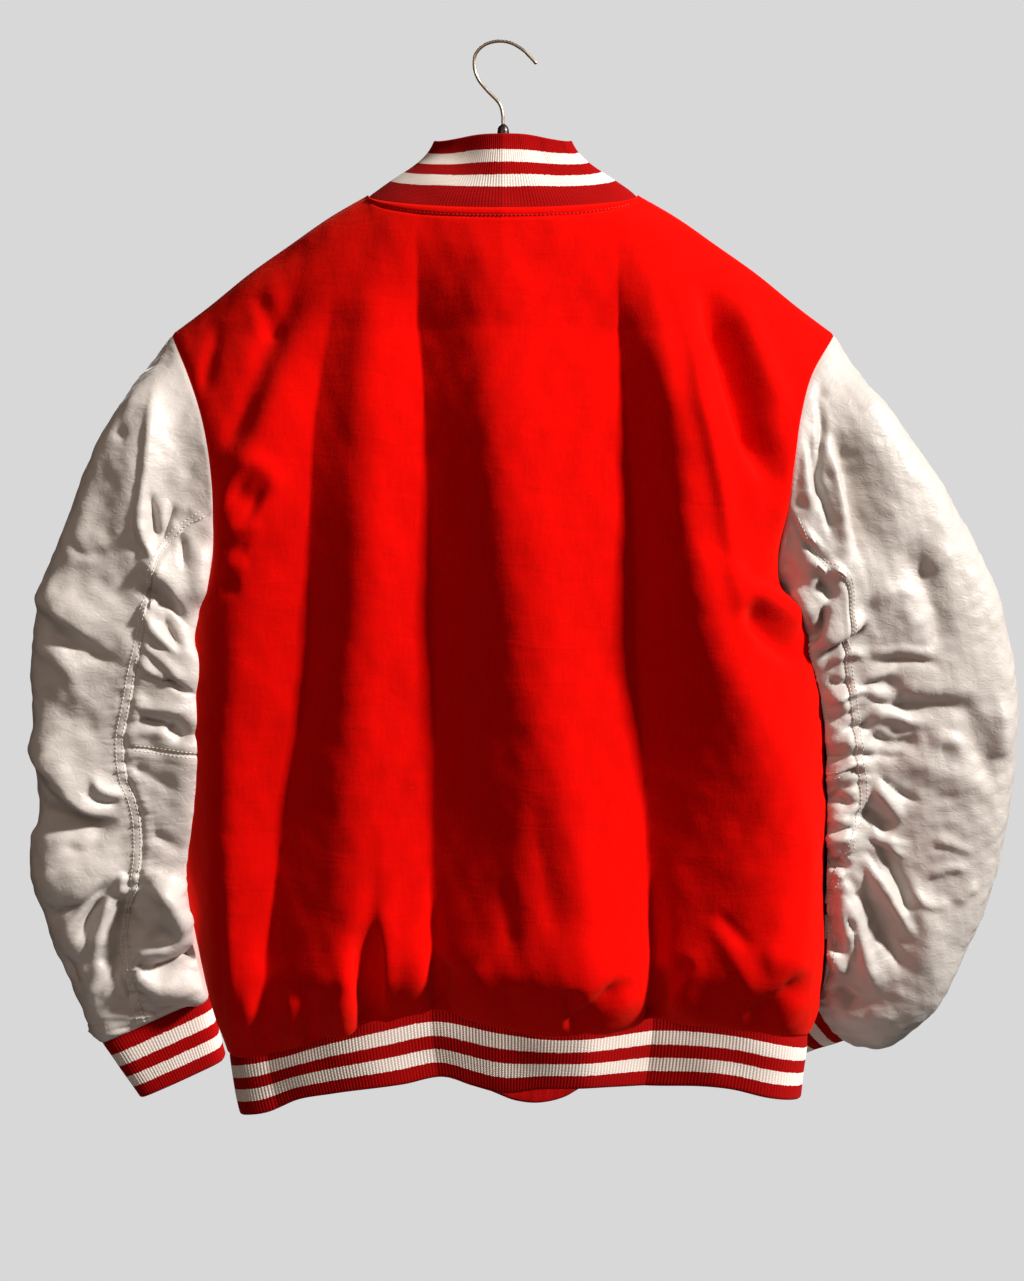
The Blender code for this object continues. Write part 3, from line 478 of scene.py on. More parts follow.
def threadMaterial(name, colour):  # a twist of slanted waves
    made, tree, shader = newMaterial(name, colour, 0.6, sheen=0.2, specular=0.3)
    twist = addNode(tree, "ShaderNodeTexWave", {"Vector": mapped(tree, (1, 1, 1), (0.6, 0.4, 0.5))})
    twist.inputs["Scale"].default_value = 900.0
    shade = mixColour(tree, twist.outputs["Fac"], tuple(0.8 * c for c in colour), colour)
    tree.links.new(shade, shader.inputs["Base Color"])
    bumpInto(tree, shader, (twist.outputs["Fac"], 0.2, 0.15 * mm))
    return made


wool, leather = woolMaterial(), leatherMaterial()
whiteThread = threadMaterial("whiteThread", (0.78, 0.73, 0.66))
redThread = threadMaterial("redThread", (0.42, 0.006, 0.006))
print("materials made")


# The body. A pair {1: ..., -1: ...} is for the back and the front.
body = dict(
    underarm=0.597, shoulderX=281 * mm, neckX=114 * mm, neckDrop={1: 147 * mm, -1: 214 * mm},
    neckPower={1: 1.9, -1: 1.8}, rounding=70 * mm, fillPower=0.6, power=3.2, thickness=2.4 * mm,
    armholeY={1: 66 * mm, -1: 62 * mm}, armholePower=0.7, armholeMean=0.16, armholeReach=0.4, hemReach=0.25,
    rowsLow=128, rowsHigh=96, columnsNeck=48, columnsShoulder=84, frontInner=56, frontOuter=40,
    foldStraight=0.7, foldSoftness=0.12, foldStart=22 * mm, foldReach=120 * mm, foldHem=0.12,
    blouseOut=18 * mm, blouseOutAt=34 * mm, blouseDown=8 * mm, blouseDownAt=6 * mm)
bodyLevels = table(
    "drop left right back front",
    (249, 281, 281, 74, 76), (285, 264, 259, 80, 78), (320, 251, 248, 86, 79), (360, 242, 241, 90, 80),
    (400, 239, 235, 93, 81), (440, 241, 228, 94, 82), (470, 249, 233, 94, 82), (497, 264, 255, 93, 82),
    (555, 268, 269, 92, 82), (640, 266, 272, 91, 82), (720, 266, 270, 90, 81), (765, 258, 270, 88, 80),
    (815, 245, 267, 84, 77), (838, 238, 264, 77, 72), (858, 231, 257, 66, 64))
shoulder = table(
    "x drop", (0, 92), (57, 103), (114, 131), (147, 150), (180, 173), (214, 197), (250, 226), (281, 249))
hemSeam = {
    1: table("x drop", (-257, 840), (-197, 827), (-130, 822), (-74, 828), (-35, 828), (3, 822), (58, 814),
             (110, 824),
             (150, 835), (181, 846), (231, 856)),
    -1: table("x drop", (-257, 840), (-150, 832), (-85, 838), (-62, 849), (-36, 853), (-10, 849), (10, 842),
              (54, 830),
              (150, 838), (231, 856))}
hemEdge = {
    1: table("x drop", (-257, 893), (-225, 888), (-197, 881), (-130, 879), (-75, 879), (-35, 880), (0, 884),
             (30, 878),
             (52, 872), (90, 877), (150, 885), (180, 891), (205, 902), (231, 907)),
    -1: table("x drop", (-257, 893), (-150, 886), (-95, 889), (-75, 896), (-60, 904), (-38, 909), (-12, 907),
              (12, 899),
              (54, 885), (150, 893), (231, 907))}
# Rolling folds: relief of a crest or trough at the first, third and last drop, then its x at all seven.
foldDrops = np.array([230, 330, 430, 530, 630, 730, 800]) * mm
foldNames = "top middle low d1 d2 d3 d4 d5 d6 d7"
rollingFolds = {
    1: table(
        foldNames,
        (0, 0, 0, -281, -262, -250, -268, -272, -271, -268),
        (12, 22, 33, *track(664, 684, 701, 735, 795, 812, 812)),
        (-10, -12, -21, *track(620, 626, 635, 637, 645, 652, 655)),
        (9, 14, 18, *track(490, 500, 514, 530, 554, 578, 580)),
        (-10, -14, -15, *track(416, 425, 430, 433, 433, 431, 430)),
        (4, 4, 5, *track(366, 362, 362, 357, 348, 350, 350)),
        (-4, -9, -9, *track(329, 312, 309, 306, 287, 271, 262)),
        (3, 17, 18, *track(285, 250, 215, 213, 212, 214, 214)),
        (0, 0, 0, 281, 262, 250, 268, 268, 262, 255)),
    -1: table(
        foldNames,
        (0, 0, 0, -281, -262, -250, -268, -272, -271, -268),
        (4, 6, 6, -190, -186, -188, -194, -192, -190, -190),
        (-4, -8, -9, -138, -134, -130, -130, -134, -138, -138),
        (3, 6, 7, -80, -78, -74, -70, -72, -74, -74),
        (0, 0, 0, -30, -30, -30, -30, -30, -30, -30),
        (0, 0, 0, 30, 30, 30, 30, 30, 30, 30),
        (3, 6, 7, 84, 85, 86, 88, 90, 92, 92),
        (-4, -8, -9, 142, 140, 144, 150, 154, 158, 158),
        (4, 6, 6, 196, 190, 196, 204, 206, 206, 206),
        (0, 0, 0, 281, 262, 250, 268, 268, 262, 255))}
# How far the wool blouses out over the hem band, as a share, against x.
blouseShares = {
    1: np.array([(-257, 0.3), (-250, 0.7), (-215, 1.15), (-170, 1.2), (-140, 0.9), (-125, 0.15), (-112, 0.8),
                 (-70, 1.15), (-20, 1.2), (20, 1.1), (45, 0.7), (56, 0.35), (66, 0.8), (84, 0.9), (98, 0.95),
                 (108, 0.35), (120, 0.85), (150, 1.1), (190, 1.2), (215, 1.4), (228, 0.9), (231, 0.5)]).T,
    -1: np.array([(-257, 0.3), (-245, 0.8), (-200, 1.1), (-160, 0.6), (-120, 1.1), (-70, 1.0), (-15, 0.75),
                  (15, 0.75),
                  (70, 1.1), (110, 0.6), (150, 1.1), (200, 0.9), (222, 0.8), (231, 0.5)]).T}


# From the middle to the side at that height: the left one where across is above zero
def halfWidth(drop, across):
    left, right = (smoothCurve(drop, bodyLevels["drop"], bodyLevels[key]) for key in ("left", "right"))
    return np.where(across > 0, left, right)


def ridgeDrop(across):  # the height of the shoulder seam
    return smoothCurve(np.abs(across) * body["shoulderX"], shoulder["x"], shoulder["drop"])


def topDrop(across, face):
    # The shoulder seam, and between the neck points a superellipse down to the neckline's middle.
    power = body["neckPower"][face]
    reach = np.abs(across) * body["shoulderX"] / body["neckX"]
    along = np.clip(1 - reach ** power, 0, 1) ** (1 / power)
    neckPoint = ridgeDrop(body["neckX"] / body["shoulderX"])
    return np.where(reach < 1, neckPoint + along * (body["neckDrop"][face] - neckPoint), ridgeDrop(across))


def armholeDepth(rise, face):  # depth sin(pi up)^power, with up from 0 at the underarm to 1 at the shoulder
    up = np.clip((rise - body["underarm"]) / (1 - body["underarm"]), 0, 1)
    return body["armholeY"][face] * np.sin(math.pi * up) ** body["armholePower"]


def easedArmhole(across, rise, face):
    # The same at the armhole itself, and further in a mean over a growing stretch, which ends at the shoulder
    # seam.
    reach = np.minimum(body["armholeMean"] * easeIn((1 - np.abs(across)) / body["armholeReach"]), 1 - rise)
    return sum(armholeDepth(np.clip(rise + k / 4 * reach, 0, 1), face) for k in range(-4, 5)) / 9


def foldRelief(x, drop, face):
    # From a trough to the next crest the cloth climbs straight for most of the way and then rounds over as a
    # parabola, blended with half a cosine.
    folds = rollingFolds[face]
    here = smoothCurve(drop, foldDrops, np.stack([folds[f"d{i}"] for i in range(1, 8)]))
    heights = smoothCurve(drop, foldDrops[[0, 2, 6]], np.stack([folds["top"], folds["middle"], folds["low"]]))
    relief = np.zeros_like(x)
    straight = body["foldStraight"]
    for i in range(here.shape[-1] - 1):
        low, high = here[..., i], here[..., i + 1]
        t = np.clip((x - low) / np.maximum(high - low, mm), 0, 1)
        start, end = heights[..., i], heights[..., i + 1]
        climb = np.where(end > start, t, 1 - t)
        keen = (np.minimum(climb, straight) + (1 - straight) / 2
                * (1 - np.clip((1 - climb) / (1 - straight), 0, 1) ** 2)) / (0.5 + straight / 2)
        rolled = keen + (0.5 - 0.5 * np.cos(math.pi * climb) - keen) * body["foldSoftness"]
        rolled = np.minimum(start, end) + np.abs(end - start) * rolled
        relief = np.where((x >= low) & (x <= high), rolled, relief)
    return relief


def bodySurface(across, rise, face):
    # Across runs from 1 at the wearer's left side to -1, and rise from 0 at the hem seam to 1 at the top. x
    # is across times the half width. Depth is edge (1 - section) + full filled section + folds + blouse, with
    # section (1 - across^p)^(1/p) and filled (1 - exp(-below/rounding))^0.6.
    across, rise = np.broadcast_arrays(across, rise)
    hem = hemSeam[face]
    lowest = bodyLevels["drop"][-1]
    hemDrop = smoothCurve(across * halfWidth(lowest, across), hem["x"], hem["drop"])
    sideHem = np.where(across > 0, hem["drop"][-1], hem["drop"][0])
    sideDrop = sideHem + (shoulder["drop"][-1] - sideHem) * rise
    nearHem = 1 - easeIn(rise / body["hemReach"])
    x = across * halfWidth(sideDrop + (lowest - sideHem) * nearHem, across)
    drop = hemDrop + (topDrop(across, face) - hemDrop) * rise
    below = drop - ridgeDrop(across)
    edge = easedArmhole(across, rise, face)
    section = np.clip(1 - np.abs(across) ** body["power"], 0, 1) ** (1 / body["power"])
    depths = bodyLevels["back" if face > 0 else "front"]
    full = smoothCurve(drop + (lowest - hemDrop) * nearHem, bodyLevels["drop"], depths)
    filled = (1 - np.exp(-np.maximum(below, 0) / body["rounding"])) ** body["fillPower"]
    fade = (easeIn((below - body["foldStart"]) / body["foldReach"])
            * (0.5 + 0.5 * easeIn(rise / body["foldHem"])))
    depth = edge * (1 - section) + full * filled * section + foldRelief(x, drop, face) * fade * section ** 0.4
    height = hemDrop - drop
    outwards, downwards = (height / reach * np.exp(1 - height / reach)
                           for reach in (body["blouseOutAt"], body["blouseDownAt"]))
    uneven = smoothCurve(x, blouseShares[face][0] * mm, blouseShares[face][1]) * section
    depth = depth + body["blouseOut"] * outwards ** 1.6 * uneven
    drop = drop + body["blouseDown"] * downwards * uneven
    return np.stack([x, face * depth, -drop], axis=-1)


# Shares of the rise, closer together at the hem and at the top, with one on the underarm
def sideRows(share=1):
    lowSpans, highSpans = body["rowsLow"] // share, body["rowsHigh"] // share
    low = body["underarm"] * (np.arange(lowSpans) / lowSpans) ** 1.25
    high = 1 - (1 - body["underarm"]) * (np.arange(highSpans, -1, -1) / highSpans) ** 1.45
    return np.concatenate([low, high])


def backColumns():  # shares across, from the wearer's left side to the right, with one on each neck point
    neck = body["neckX"] / body["shoulderX"]
    t = np.linspace(0, 1, body["columnsNeck"] + 1)
    inner = neck * (0.6 * t + 0.4 * np.sin(t * math.pi / 2))
    outer = np.sin(np.linspace(math.asin(neck), math.pi / 2, body["columnsShoulder"] + 1))
    half = np.concatenate([inner, outer[1:]])
    return np.concatenate([half[::-1], -half[1:]])


def frontColumns():  # from the placket's edge past the centre line to the side
    neck = body["neckX"] / body["shoulderX"]
    inner = np.linspace(-placket["half"] / body["shoulderX"], neck, body["frontInner"] + 1)
    outer = np.sin(np.linspace(math.asin(neck), math.pi / 2, body["frontOuter"] + 1))
    return np.concatenate([inner, outer[1:]])


placket = dict(half=15 * mm, blend=60 * mm, step=(3.0 + 0.5) / 2 * mm, stitchFrom=6 * mm, stitchGap=18 * mm)


# At the placket the left front stands off and the right one lies under it
def frontSurface(across, rise, hand):
    points = bodySurface(across, rise, -1)
    near = 1 - easeIn((hand * points[..., 0] - placket["half"]) / placket["blend"])
    points[..., 1] -= hand * near * placket["step"]
    return points


# Lengths along the cloth to the nearer side border, to the low border and to the high one
def borderGaps(grid):
    across = np.linalg.norm(np.diff(grid, axis=1), axis=-1).cumsum(axis=1)
    across = np.pad(across, ((0, 0), (1, 0)))
    up = np.pad(np.linalg.norm(np.diff(grid, axis=0), axis=-1).cumsum(axis=0), ((1, 0), (0, 0)))
    return np.minimum(across, across[:, -1:] - across), up, up[-1:] - up


# For each row, the point where gaps, which grow along the row, reach the distance
def lineAt(grid, gaps, distance):
    i = np.clip((gaps < distance).sum(axis=1), 1, grid.shape[1] - 1)
    rows = np.arange(len(grid))
    t = ((distance - gaps[rows, i - 1]) / (gaps[rows, i] - gaps[rows, i - 1]))[:, None]
    return grid[rows, i - 1] * (1 - t) + grid[rows, i] * t


# Creases of the back: yoke drags, the draw at both underarms, and the pleats that the hem band gathers.
backCreases = sighted(92, (
    (-5.5, 14, 0.2, (303, 258), (290, 290), (272, 325), (255, 370), (240, 410), (230, 440), (221, 476)),
    (-2.5, 9, 0.2, (215, 310), (208, 340), (202, 370), (198, 402)),
    (-3, 10, 0.2, (248, 280), (262, 315), (266, 340)),
    (-6, 15, 0, (228, 484), (246, 498), (262, 508)),
    (3, 11, 0.2, (230, 474), (248, 463), (268, 474), (278, 500)),
    (2, 8, 0, (220, 527), (242, 529), (264, 524)),
    (-2, 8, 0, (218, 548), (232, 549), (252, 552)),
    (1.5, 8, 0, (218, 565), (234, 566), (250, 563)),
    (-2, 9, 0, (216, 590), (228, 588), (240, 584)),
    (-22, 14, 0.3, (702, 258), (715, 300), (728, 340), (740, 385), (752, 425), (766, 462), (780, 505)),
    (6, 13, 0, (748, 280), (758, 330), (775, 380), (792, 425)),
    (4, 10, 0.2, (670, 235), (682, 300), (695, 350), (703, 400), (712, 445), (722, 500), (730, 550),
     (740, 600), (755, 645), (790, 695)),
    (9, 12, 0.2, (738, 582), (765, 598), (790, 612), (812, 628)),
    (-13, 13, 0.2, (742, 602), (762, 626), (784, 646), (812, 664)),
    (-10, 19, 0.4, (360, 915), (366, 950), (370, 990), (371, 1030), (371, 1065)),
    (3, 10, 0.3, (346, 960), (346, 990), (346, 1020), (346, 1055)),
    (-11, 10, 0.5, (442, 950), (441, 985), (439, 1020), (438, 1060)),
    (-7, 13, 0.4, (318, 985), (315, 1010), (312, 1040), (311, 1075)),
    (4, 9, 0, (336, 990), (336, 1020), (335, 1050)),
    (5, 9, 0.2, (290, 990), (290, 1020), (290, 1055)),
    (-5, 16, 0.2, (268, 975), (266, 1015), (263, 1045), (262, 1075)),
    (-7, 10, 0.4, (630, 975), (606, 996), (588, 1014), (570, 1034)),
    (4, 12, 0.2, (640, 988), (622, 1006), (606, 1024), (590, 1044)),
    (-9, 10, 0.5, (666, 960), (661, 985), (656, 1010), (653, 1030), (652, 1060)),
    (4, 12, 0.2, (664, 996), (682, 1005), (700, 1015), (724, 1028)),
    (-3, 9, 0, (690, 958), (680, 974), (670, 992)),
    (-8, 13, 0.4, (812, 970), (788, 994), (764, 1012), (742, 1032)),
    (3, 14, 0, (756, 956), (785, 960), (812, 964)),
    (-2, 7, 0, (714, 908), (732, 930), (752, 950)),
    (2.5, 10, 0.3, (706, 915), (722, 940), (740, 970), (756, 1005)),
    (-2.2, 13, 0.3, (526, 780), (541, 840), (549, 895), (562, 945)),
    (1.5, 14, 0.2, (512, 830), (520, 880), (528, 930), (530, 980)),
    (-1.5, 10, 0.2, (500, 870), (508, 910), (514, 955)),
    (-5, 9, 0.3, (566, 985), (572, 1010), (574, 1040)),
    (-5, 10, 0.3, (506, 985), (514, 1005), (524, 1030)),
    (3, 12, 0, (470, 960), (482, 990), (492, 1030)),
))
frontCreases = (
    (-6, 12, 0.2, (150, 190), (182, 240), (205, 292), (222, 350)),
    (5, 12, 0.2, (128, 196), (162, 252), (188, 316), (204, 372)),
    (-6, 12, 0.2, (-146, 186), (-178, 238), (-203, 290), (-218, 346)),
    (-5, 10, 0, (-228, 392), (-205, 424), (-186, 470)),
    (-5, 10, 0, (230, 396), (206, 430), (190, 478)),
    (4, 12, 0, (-100, 330), (-120, 420), (-150, 500)),
    (-7, 6, 0.2, (-190, 770), (-186, 800), (-184, 828)),
    (-6, 6, 0.2, (-110, 764), (-114, 796), (-116, 826)),
    (-6, 7, 0.2, (84, 768), (86, 796), (90, 824)),
    (-7, 6, 0.2, (168, 774), (164, 804), (162, 832)),
    (5, 7, 0, (-150, 768), (-148, 796), (-150, 824)),
    (5, 7, 0, (126, 770), (124, 798), (126, 826)),
)
woolSurface = dict(swell=0.7 * mm, swellSize=70 * mm, mottle=0.22 * mm, mottleSize=19 * mm, seamRise=1.1 * mm,
                   seamWidth=2.4 * mm, allowance=9 * mm, allowanceRise=0.9 * mm, groove=1.5 * mm,
                   grooveWidth=1.5 * mm,
                   shoulderAllowance=6.5 * mm, shoulderShare=0.6, neckTo=0.415, neckBlend=0.012,
                   sideFade=16 * mm, hemFade=7 * mm, topFade=16 * mm)


def byNeck(away):  # 1 between the neck points, 0 on the shoulders
    return easeIn((woolSurface["neckTo"] - away) / woolSurface["neckBlend"])[None, :]


def dressWool(grid, creases, side, seed, neckOnly):
    # Adds creases, a long swell and a short mottle, lifts the cloth off its seams as rise (1 -
    # exp(-(gap/width)^2)), and presses the topstitched allowance at the neckline and the shoulders, a band
    # that ends in a groove.
    look = woolSurface
    sides, low, high = borderGaps(grid)
    fade = (easeIn(sides / look["sideFade"]) * easeIn(low / look["hemFade"])
            * easeIn((high - 2 * mm) / look["topFade"]))
    made = addCreases(grid, False, creases, side, fade)
    swell, mottle = ripples(grid, look["swellSize"], seed), ripples(grid, look["mottleSize"], seed + 1)
    lift = fade * (look["swell"] * swell + look["mottle"] * mottle)
    seam = np.minimum(sides, high)
    lift = lift + look["seamRise"] * (1 - np.exp(-((seam / look["seamWidth"]) ** 2))) * easeIn(low / (4 * mm))
    for allowance, depth, where in ((look["allowance"], 1.0, neckOnly),
                                    (look["shoulderAllowance"], look["shoulderShare"], 1 - neckOnly)):
        band = look["allowanceRise"] * (easeIn(high / (3 * mm))
                                        - easeIn((high - allowance + 1.5 * mm) / (2 * mm)))
        groove = look["groove"] * np.exp(-(((high - allowance) / look["grooveWidth"]) ** 2))
        lift = lift + (band - groove) * depth * where * easeIn(sides / (4 * mm))
    return made + gridNormals(grid, False) * lift[..., None]


across = backColumns()
back = bodySurface(across[None, :], sideRows()[:, None], 1)
back = dressWool(back, backCreases, 1, 11, byNeck(np.abs(across)))
backPiece = clothWall("backPanel", back, body["thickness"], False, wool)
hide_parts("back")
fronts = {}
for hand, name in ((1, "left"), (-1, "right")):
    across = hand * frontColumns()
    grid = frontSurface(across[None, :], sideRows(2)[:, None], hand)
    neckOnly = byNeck(hand * across)
    if hand < 0:
        grid, neckOnly = grid[:, ::-1], neckOnly[:, ::-1]
    grid = dressWool(grid, frontCreases, -1, 20 + hand, neckOnly)
    fronts[hand] = grid
    piece = clothWall(name + "FrontPanel", grid, body["thickness"], False, wool,
                      freeEdges=("first" if hand > 0 else "last",))
    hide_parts("front_" + name)
print("body made")


# Ribs: a band of knit between two borders, with ribs across it and a rolled free edge.
rib = dict(thickness=3.0 * mm, pitch=2.8 * mm, relief=0.42 * mm, columnsPerRib=5, roll=1.1 * mm,
           rollReach=2.2 * mm,
           wave=0.5 * mm, waveSize=45 * mm)


def evenly(points, count, closed=False):  # the same line, read at count evenly spaced places
    if closed:
        points = np.concatenate([points, points[:1]])
    travel = np.concatenate([[0], np.linalg.norm(np.diff(points, axis=0), axis=1).cumsum()])
    at = np.linspace(0, travel[-1], count + (1 if closed else 0))
    line = np.stack([np.interp(at, travel, points[:, i]) for i in range(3)], axis=1)
    return (line[:-1] if closed else line), travel[-1]


def ribShares(rows):  # heights of the rows, closer together at both ends
    t = np.linspace(0, 1, rows + 1)
    return t - 0.11 * np.sin(2 * math.pi * t)


# The line at the knit's own columns, whole ribs and a multiple of 4, and its length
def ribSeam(line, closed=False):
    _, length = evenly(line, 10, closed)
    columns = int(length / rib["pitch"] / 4) * 4 * rib["columnsPerRib"]
    return evenly(line, columns if closed else columns + 1, closed)


def borderLine(left, middle, right, rise):  # along the left front, round the back, and along the right front
    return np.concatenate([frontSurface(left, rise, 1)[:-1], bodySurface(middle, rise, 1),
                           frontSurface(right, rise, -1)[1:]])


def knitBand(name, grid, closed, finish, freeEdge, height, length, seed, freeEdges):
    # Rib relief is r (|sin(pi s / pitch)|^0.7 - 0.6), flattened to nothing at the seam, and the free edge
    # rolls in by a quarter circle. s is the length along the seam, the same on every row, so that ribs stay
    # on the knit's columns. uv is in millimetres: along the seam, and from the free edge.
    normals = gridNormals(grid, closed)
    columns = grid.shape[1]
    s = np.arange(columns) * length / (columns if closed else columns - 1)
    ribs = np.abs(np.sin(math.pi * s / rib["pitch"])) ** 0.7 - 0.6
    up = ribShares(len(grid) - 1)[:, None] * height
    fromFree = up if freeEdge == "low" else height - up
    fromSeam = height - fromFree
    lift = rib["relief"] * ribs[None, :] * easeIn(fromSeam / (2 * mm)) * easeIn(fromFree / (1.5 * mm))
    reach = np.clip(1 - fromFree / rib["rollReach"], 0, 1)
    lift = lift - rib["roll"] * (1 - np.sqrt(1 - reach ** 2 * 0.999))
    lift = lift + rib["wave"] * ripples(grid, rib["waveSize"], seed) * easeIn(fromSeam / (10 * mm))
    grid = grid + normals * lift[..., None]
    around = np.append(s, length) if closed else s
    uv = np.stack(np.broadcast_arrays(around[None, :] / mm, fromFree / mm), axis=-1)
    return clothWall(name, grid, rib["thickness"], closed, finish, uv, None, 4, freeEdges)


# Stripes, in millimetres from the free edge.
stripes = dict(hem=((12, 22.5), (33, 44)), cuff=((12, 22), (33, 44.5)), collar=((15, 27), (39, 50)))
hemRib, cuffRib, collarRib = (ribMaterial(name + "Rib", stripes[name], 2.8)
                              for name in ("hem", "cuff", "collar"))

hem = dict(rows=20, taper=8 * mm, taperSide=0.008, height=54 * mm)
placketShare = placket["half"] / body["shoulderX"]
hemLine = borderLine(np.linspace(-placketShare, 1, 700), -np.linspace(-1, 1, 1201),
                     np.linspace(-1, placketShare, 700), 0)
seam, hemLength = ribSeam(hemLine)
lower = (smoothCurve(seam[:, 0], hemEdge[face]["x"], hemEdge[face]["drop"]) for face in (1, -1))
lower = np.where(seam[:, 1] > 0, *lower)
inward = -unit(seam * [1, 1, 0]) * (hem["taper"] + hem["taperSide"] * seam[:, :1])
t = 1 - ribShares(hem["rows"])[:, None, None]
band = seam + inward * t ** 1.5
band[..., 2] = seam[:, 2] + (-lower - seam[:, 2]) * t[..., 0]
hemPiece = knitBand("hemBand", band, False, hemRib, "low", hem["height"], hemLength, 31,
                    ("low", "first", "last"))
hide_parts("hem_band")

# Leans are degrees from upright at the front, the sides and the back.
collar = dict(rows=26, height=70 * mm, sideExtra=5 * mm, endHeight=54 * mm, endReach=90 * mm,
              endCorner=16 * mm,
              leans=(24.0, 50.0, 20.0), hollow=0.22, middleY=-10 * mm)
neckShare = body["neckX"] / body["shoulderX"]
neckAcross = np.linspace(0, neckShare, 400)
neckLine = borderLine(neckAcross, np.linspace(neckShare, -neckShare, 600), -neckAcross[::-1], 1)
seam, neckLength = ribSeam(neckLine)
out = unit(seam[:, :2] - [0, collar["middleY"]])
lean = np.radians(smoothCurve(out[:, 1], np.array([-1.0, 0.0, 1.0]), np.array(collar["leans"])))
travel = np.linspace(0, neckLength, len(seam))
fromEnd = np.minimum(travel, neckLength - travel)
tall = collar["height"] + collar["sideExtra"] * (1 - out[:, 1] ** 2)
tall = collar["endHeight"] + (tall - collar["endHeight"]) * easeIn(fromEnd / collar["endReach"])
tall = tall * (0.80 + 0.20 * np.sqrt(np.clip(fromEnd / collar["endCorner"], 0, 1)))  # a rounded corner
t = ribShares(collar["rows"])[:, None]
side = -out * (np.sin(lean) * tall * t * (1 + collar["hollow"] * np.sin(math.pi * t)))[..., None]
stand = seam + np.concatenate([side, (np.cos(lean) * tall * t)[..., None]], axis=-1)
collarPiece = knitBand("collarBand", stand, False, collarRib, "high", collar["height"], neckLength, 37,
                       ("high", "first", "last"))
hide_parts("collar")
print("ribs made")


# Sleeves: a tube whose rings run from the armhole to the cuff seam. Turns go from the outer edge (0) over the
# back to the inner edge (0.5) and round the front. Its columns follow the two long seams. A pair {1: ..., -1:
# ...} is for the wearer's left and right.
sleeve = dict(
    rowsLow=140, rowsHigh=152, upperSpans=148, underSpans=84, elbow=0.52, thickness=2.0 * mm,
    clearance=4.0 * mm,
    clearanceStart=0.12, blouseOut=4 * mm, blouseAt=9 * mm, power={1: 5.0, -1: 4.4},
    swing={1: 7 * mm, -1: -6 * mm}, flatness=0.9, frontSeam=0.70, seamDip=1.0 * mm, seamWidth=1.9 * mm,
    allowance=7 * mm, allowanceRise=0.5 * mm, armholeRise=0.9 * mm, armholeWidth=2 * mm,
    pucker=1.0 * mm, puckerReach=13 * mm, puckerStart=0.30, puckerBlend=0.12, cuffPucker=12 * mm,
    gathers=(9 * mm, 5.5 * mm), swell=0.9 * mm, swellSize=48 * mm, crumple=0.35 * mm, crumpleSize=13 * mm,
    frontShare=0.75, frontDrop=18, foldEnds=(0.12, 0.06), creaseEnds=(0.03, 0.02), hollowDepth=22 * mm)
sleeveRings = {
    1: table(
        "outerX outerDrop innerX innerDrop middleY depth",
        (325, 318, 252, 518, 2, 146), (362, 402, 250, 540, 4, 150), (388, 482, 250, 562, 5, 146),
        (393, 558, 250, 592, 3, 140), (389, 635, 250, 630, 0, 134), (390, 694, 250, 676, -4, 128),
        (380, 754, 250, 718, -8, 118), (362, 803, 250, 762, -12, 100), (341, 847, 252, 808, -16, 62)),
    -1: table(
        "outerX outerDrop innerX innerDrop middleY depth",
        (322, 308, 252, 508, -6, 146), (367, 370, 252, 532, -14, 152), (402, 429, 252, 560, -22, 152),
        (428, 495, 252, 590, -28, 150), (438, 563, 252, 624, -32, 146), (434, 635, 252, 662, -36, 142),
        (423, 703, 252, 696, -40, 138), (400, 767, 254, 730, -42, 132), (366, 829, 258, 764, -46, 120),
        (338, 851, 262, 782, -58, 100), (311, 849, 260, 784, -73, 64))}
sleeveLeans = {1: np.radians([0, 0, 0, 0, 0, 0, 0, 0, 4]), -1: np.radians([0, 0, 0, 0, 0, 0, 0, 0, 6, 20, 34])}
# Broad folds: share of the way down, share round, reach down and round, relief in millimetres.
broadFolds = {
    1: ((0.24, 0.42, 0.04, 0.10, 3), (0.36, 0.40, 0.04, 0.10, -3), (0.84, 0.36, 0.04, 0.10, 4),
        (0.40, 0.85, 0.05, 0.12, 6), (0.58, 0.84, 0.05, 0.12, -6), (0.76, 0.85, 0.05, 0.12, 6)),
    -1: ((0.26, 0.20, 0.05, 0.09, -2), (0.37, 0.18, 0.04, 0.12, 2), (0.22, 0.38, 0.04, 0.10, 3),
         (0.50, 0.38, 0.05, 0.10, -3), (0.38, 0.85, 0.05, 0.12, 6), (0.56, 0.84, 0.05, 0.12, -6),
         (0.74, 0.85, 0.05, 0.12, 6))}
# Where the back seam runs: share of the way down, and its turn.
backSeam = {
    1: ((0, 0.083, 0.133, 0.175, 0.246, 0.338, 0.438, 0.521, 0.583, 0.617, 0.704, 0.758, 0.83, 0.92, 1),
        (0.35, 0.300, 0.283, 0.275, 0.281, 0.289, 0.281, 0.267, 0.272, 0.286, 0.294, 0.283, 0.25, 0.235,
         0.23)),
    -1: ((0, 0.071, 0.129, 0.192, 0.275, 0.392, 0.508, 0.583, 0.629, 0.717, 0.783, 0.858, 0.917, 1),
         (0.35, 0.336, 0.316, 0.300, 0.327, 0.333, 0.330, 0.325, 0.330, 0.349, 0.355, 0.352, 0.333, 0.33))}


# The body's own edge, from the shoulder down the back to the underarm and up the front
def armholePoint(turn, hand):
    turn = turn % 1
    u = np.minimum(2 * turn, 2 - 2 * turn)
    rise = 1 - (1 - body["underarm"]) * u ** 1.35
    return np.where((turn <= 0.5)[..., None], bodySurface(float(hand), rise, 1),
                    bodySurface(float(hand), rise, -1))


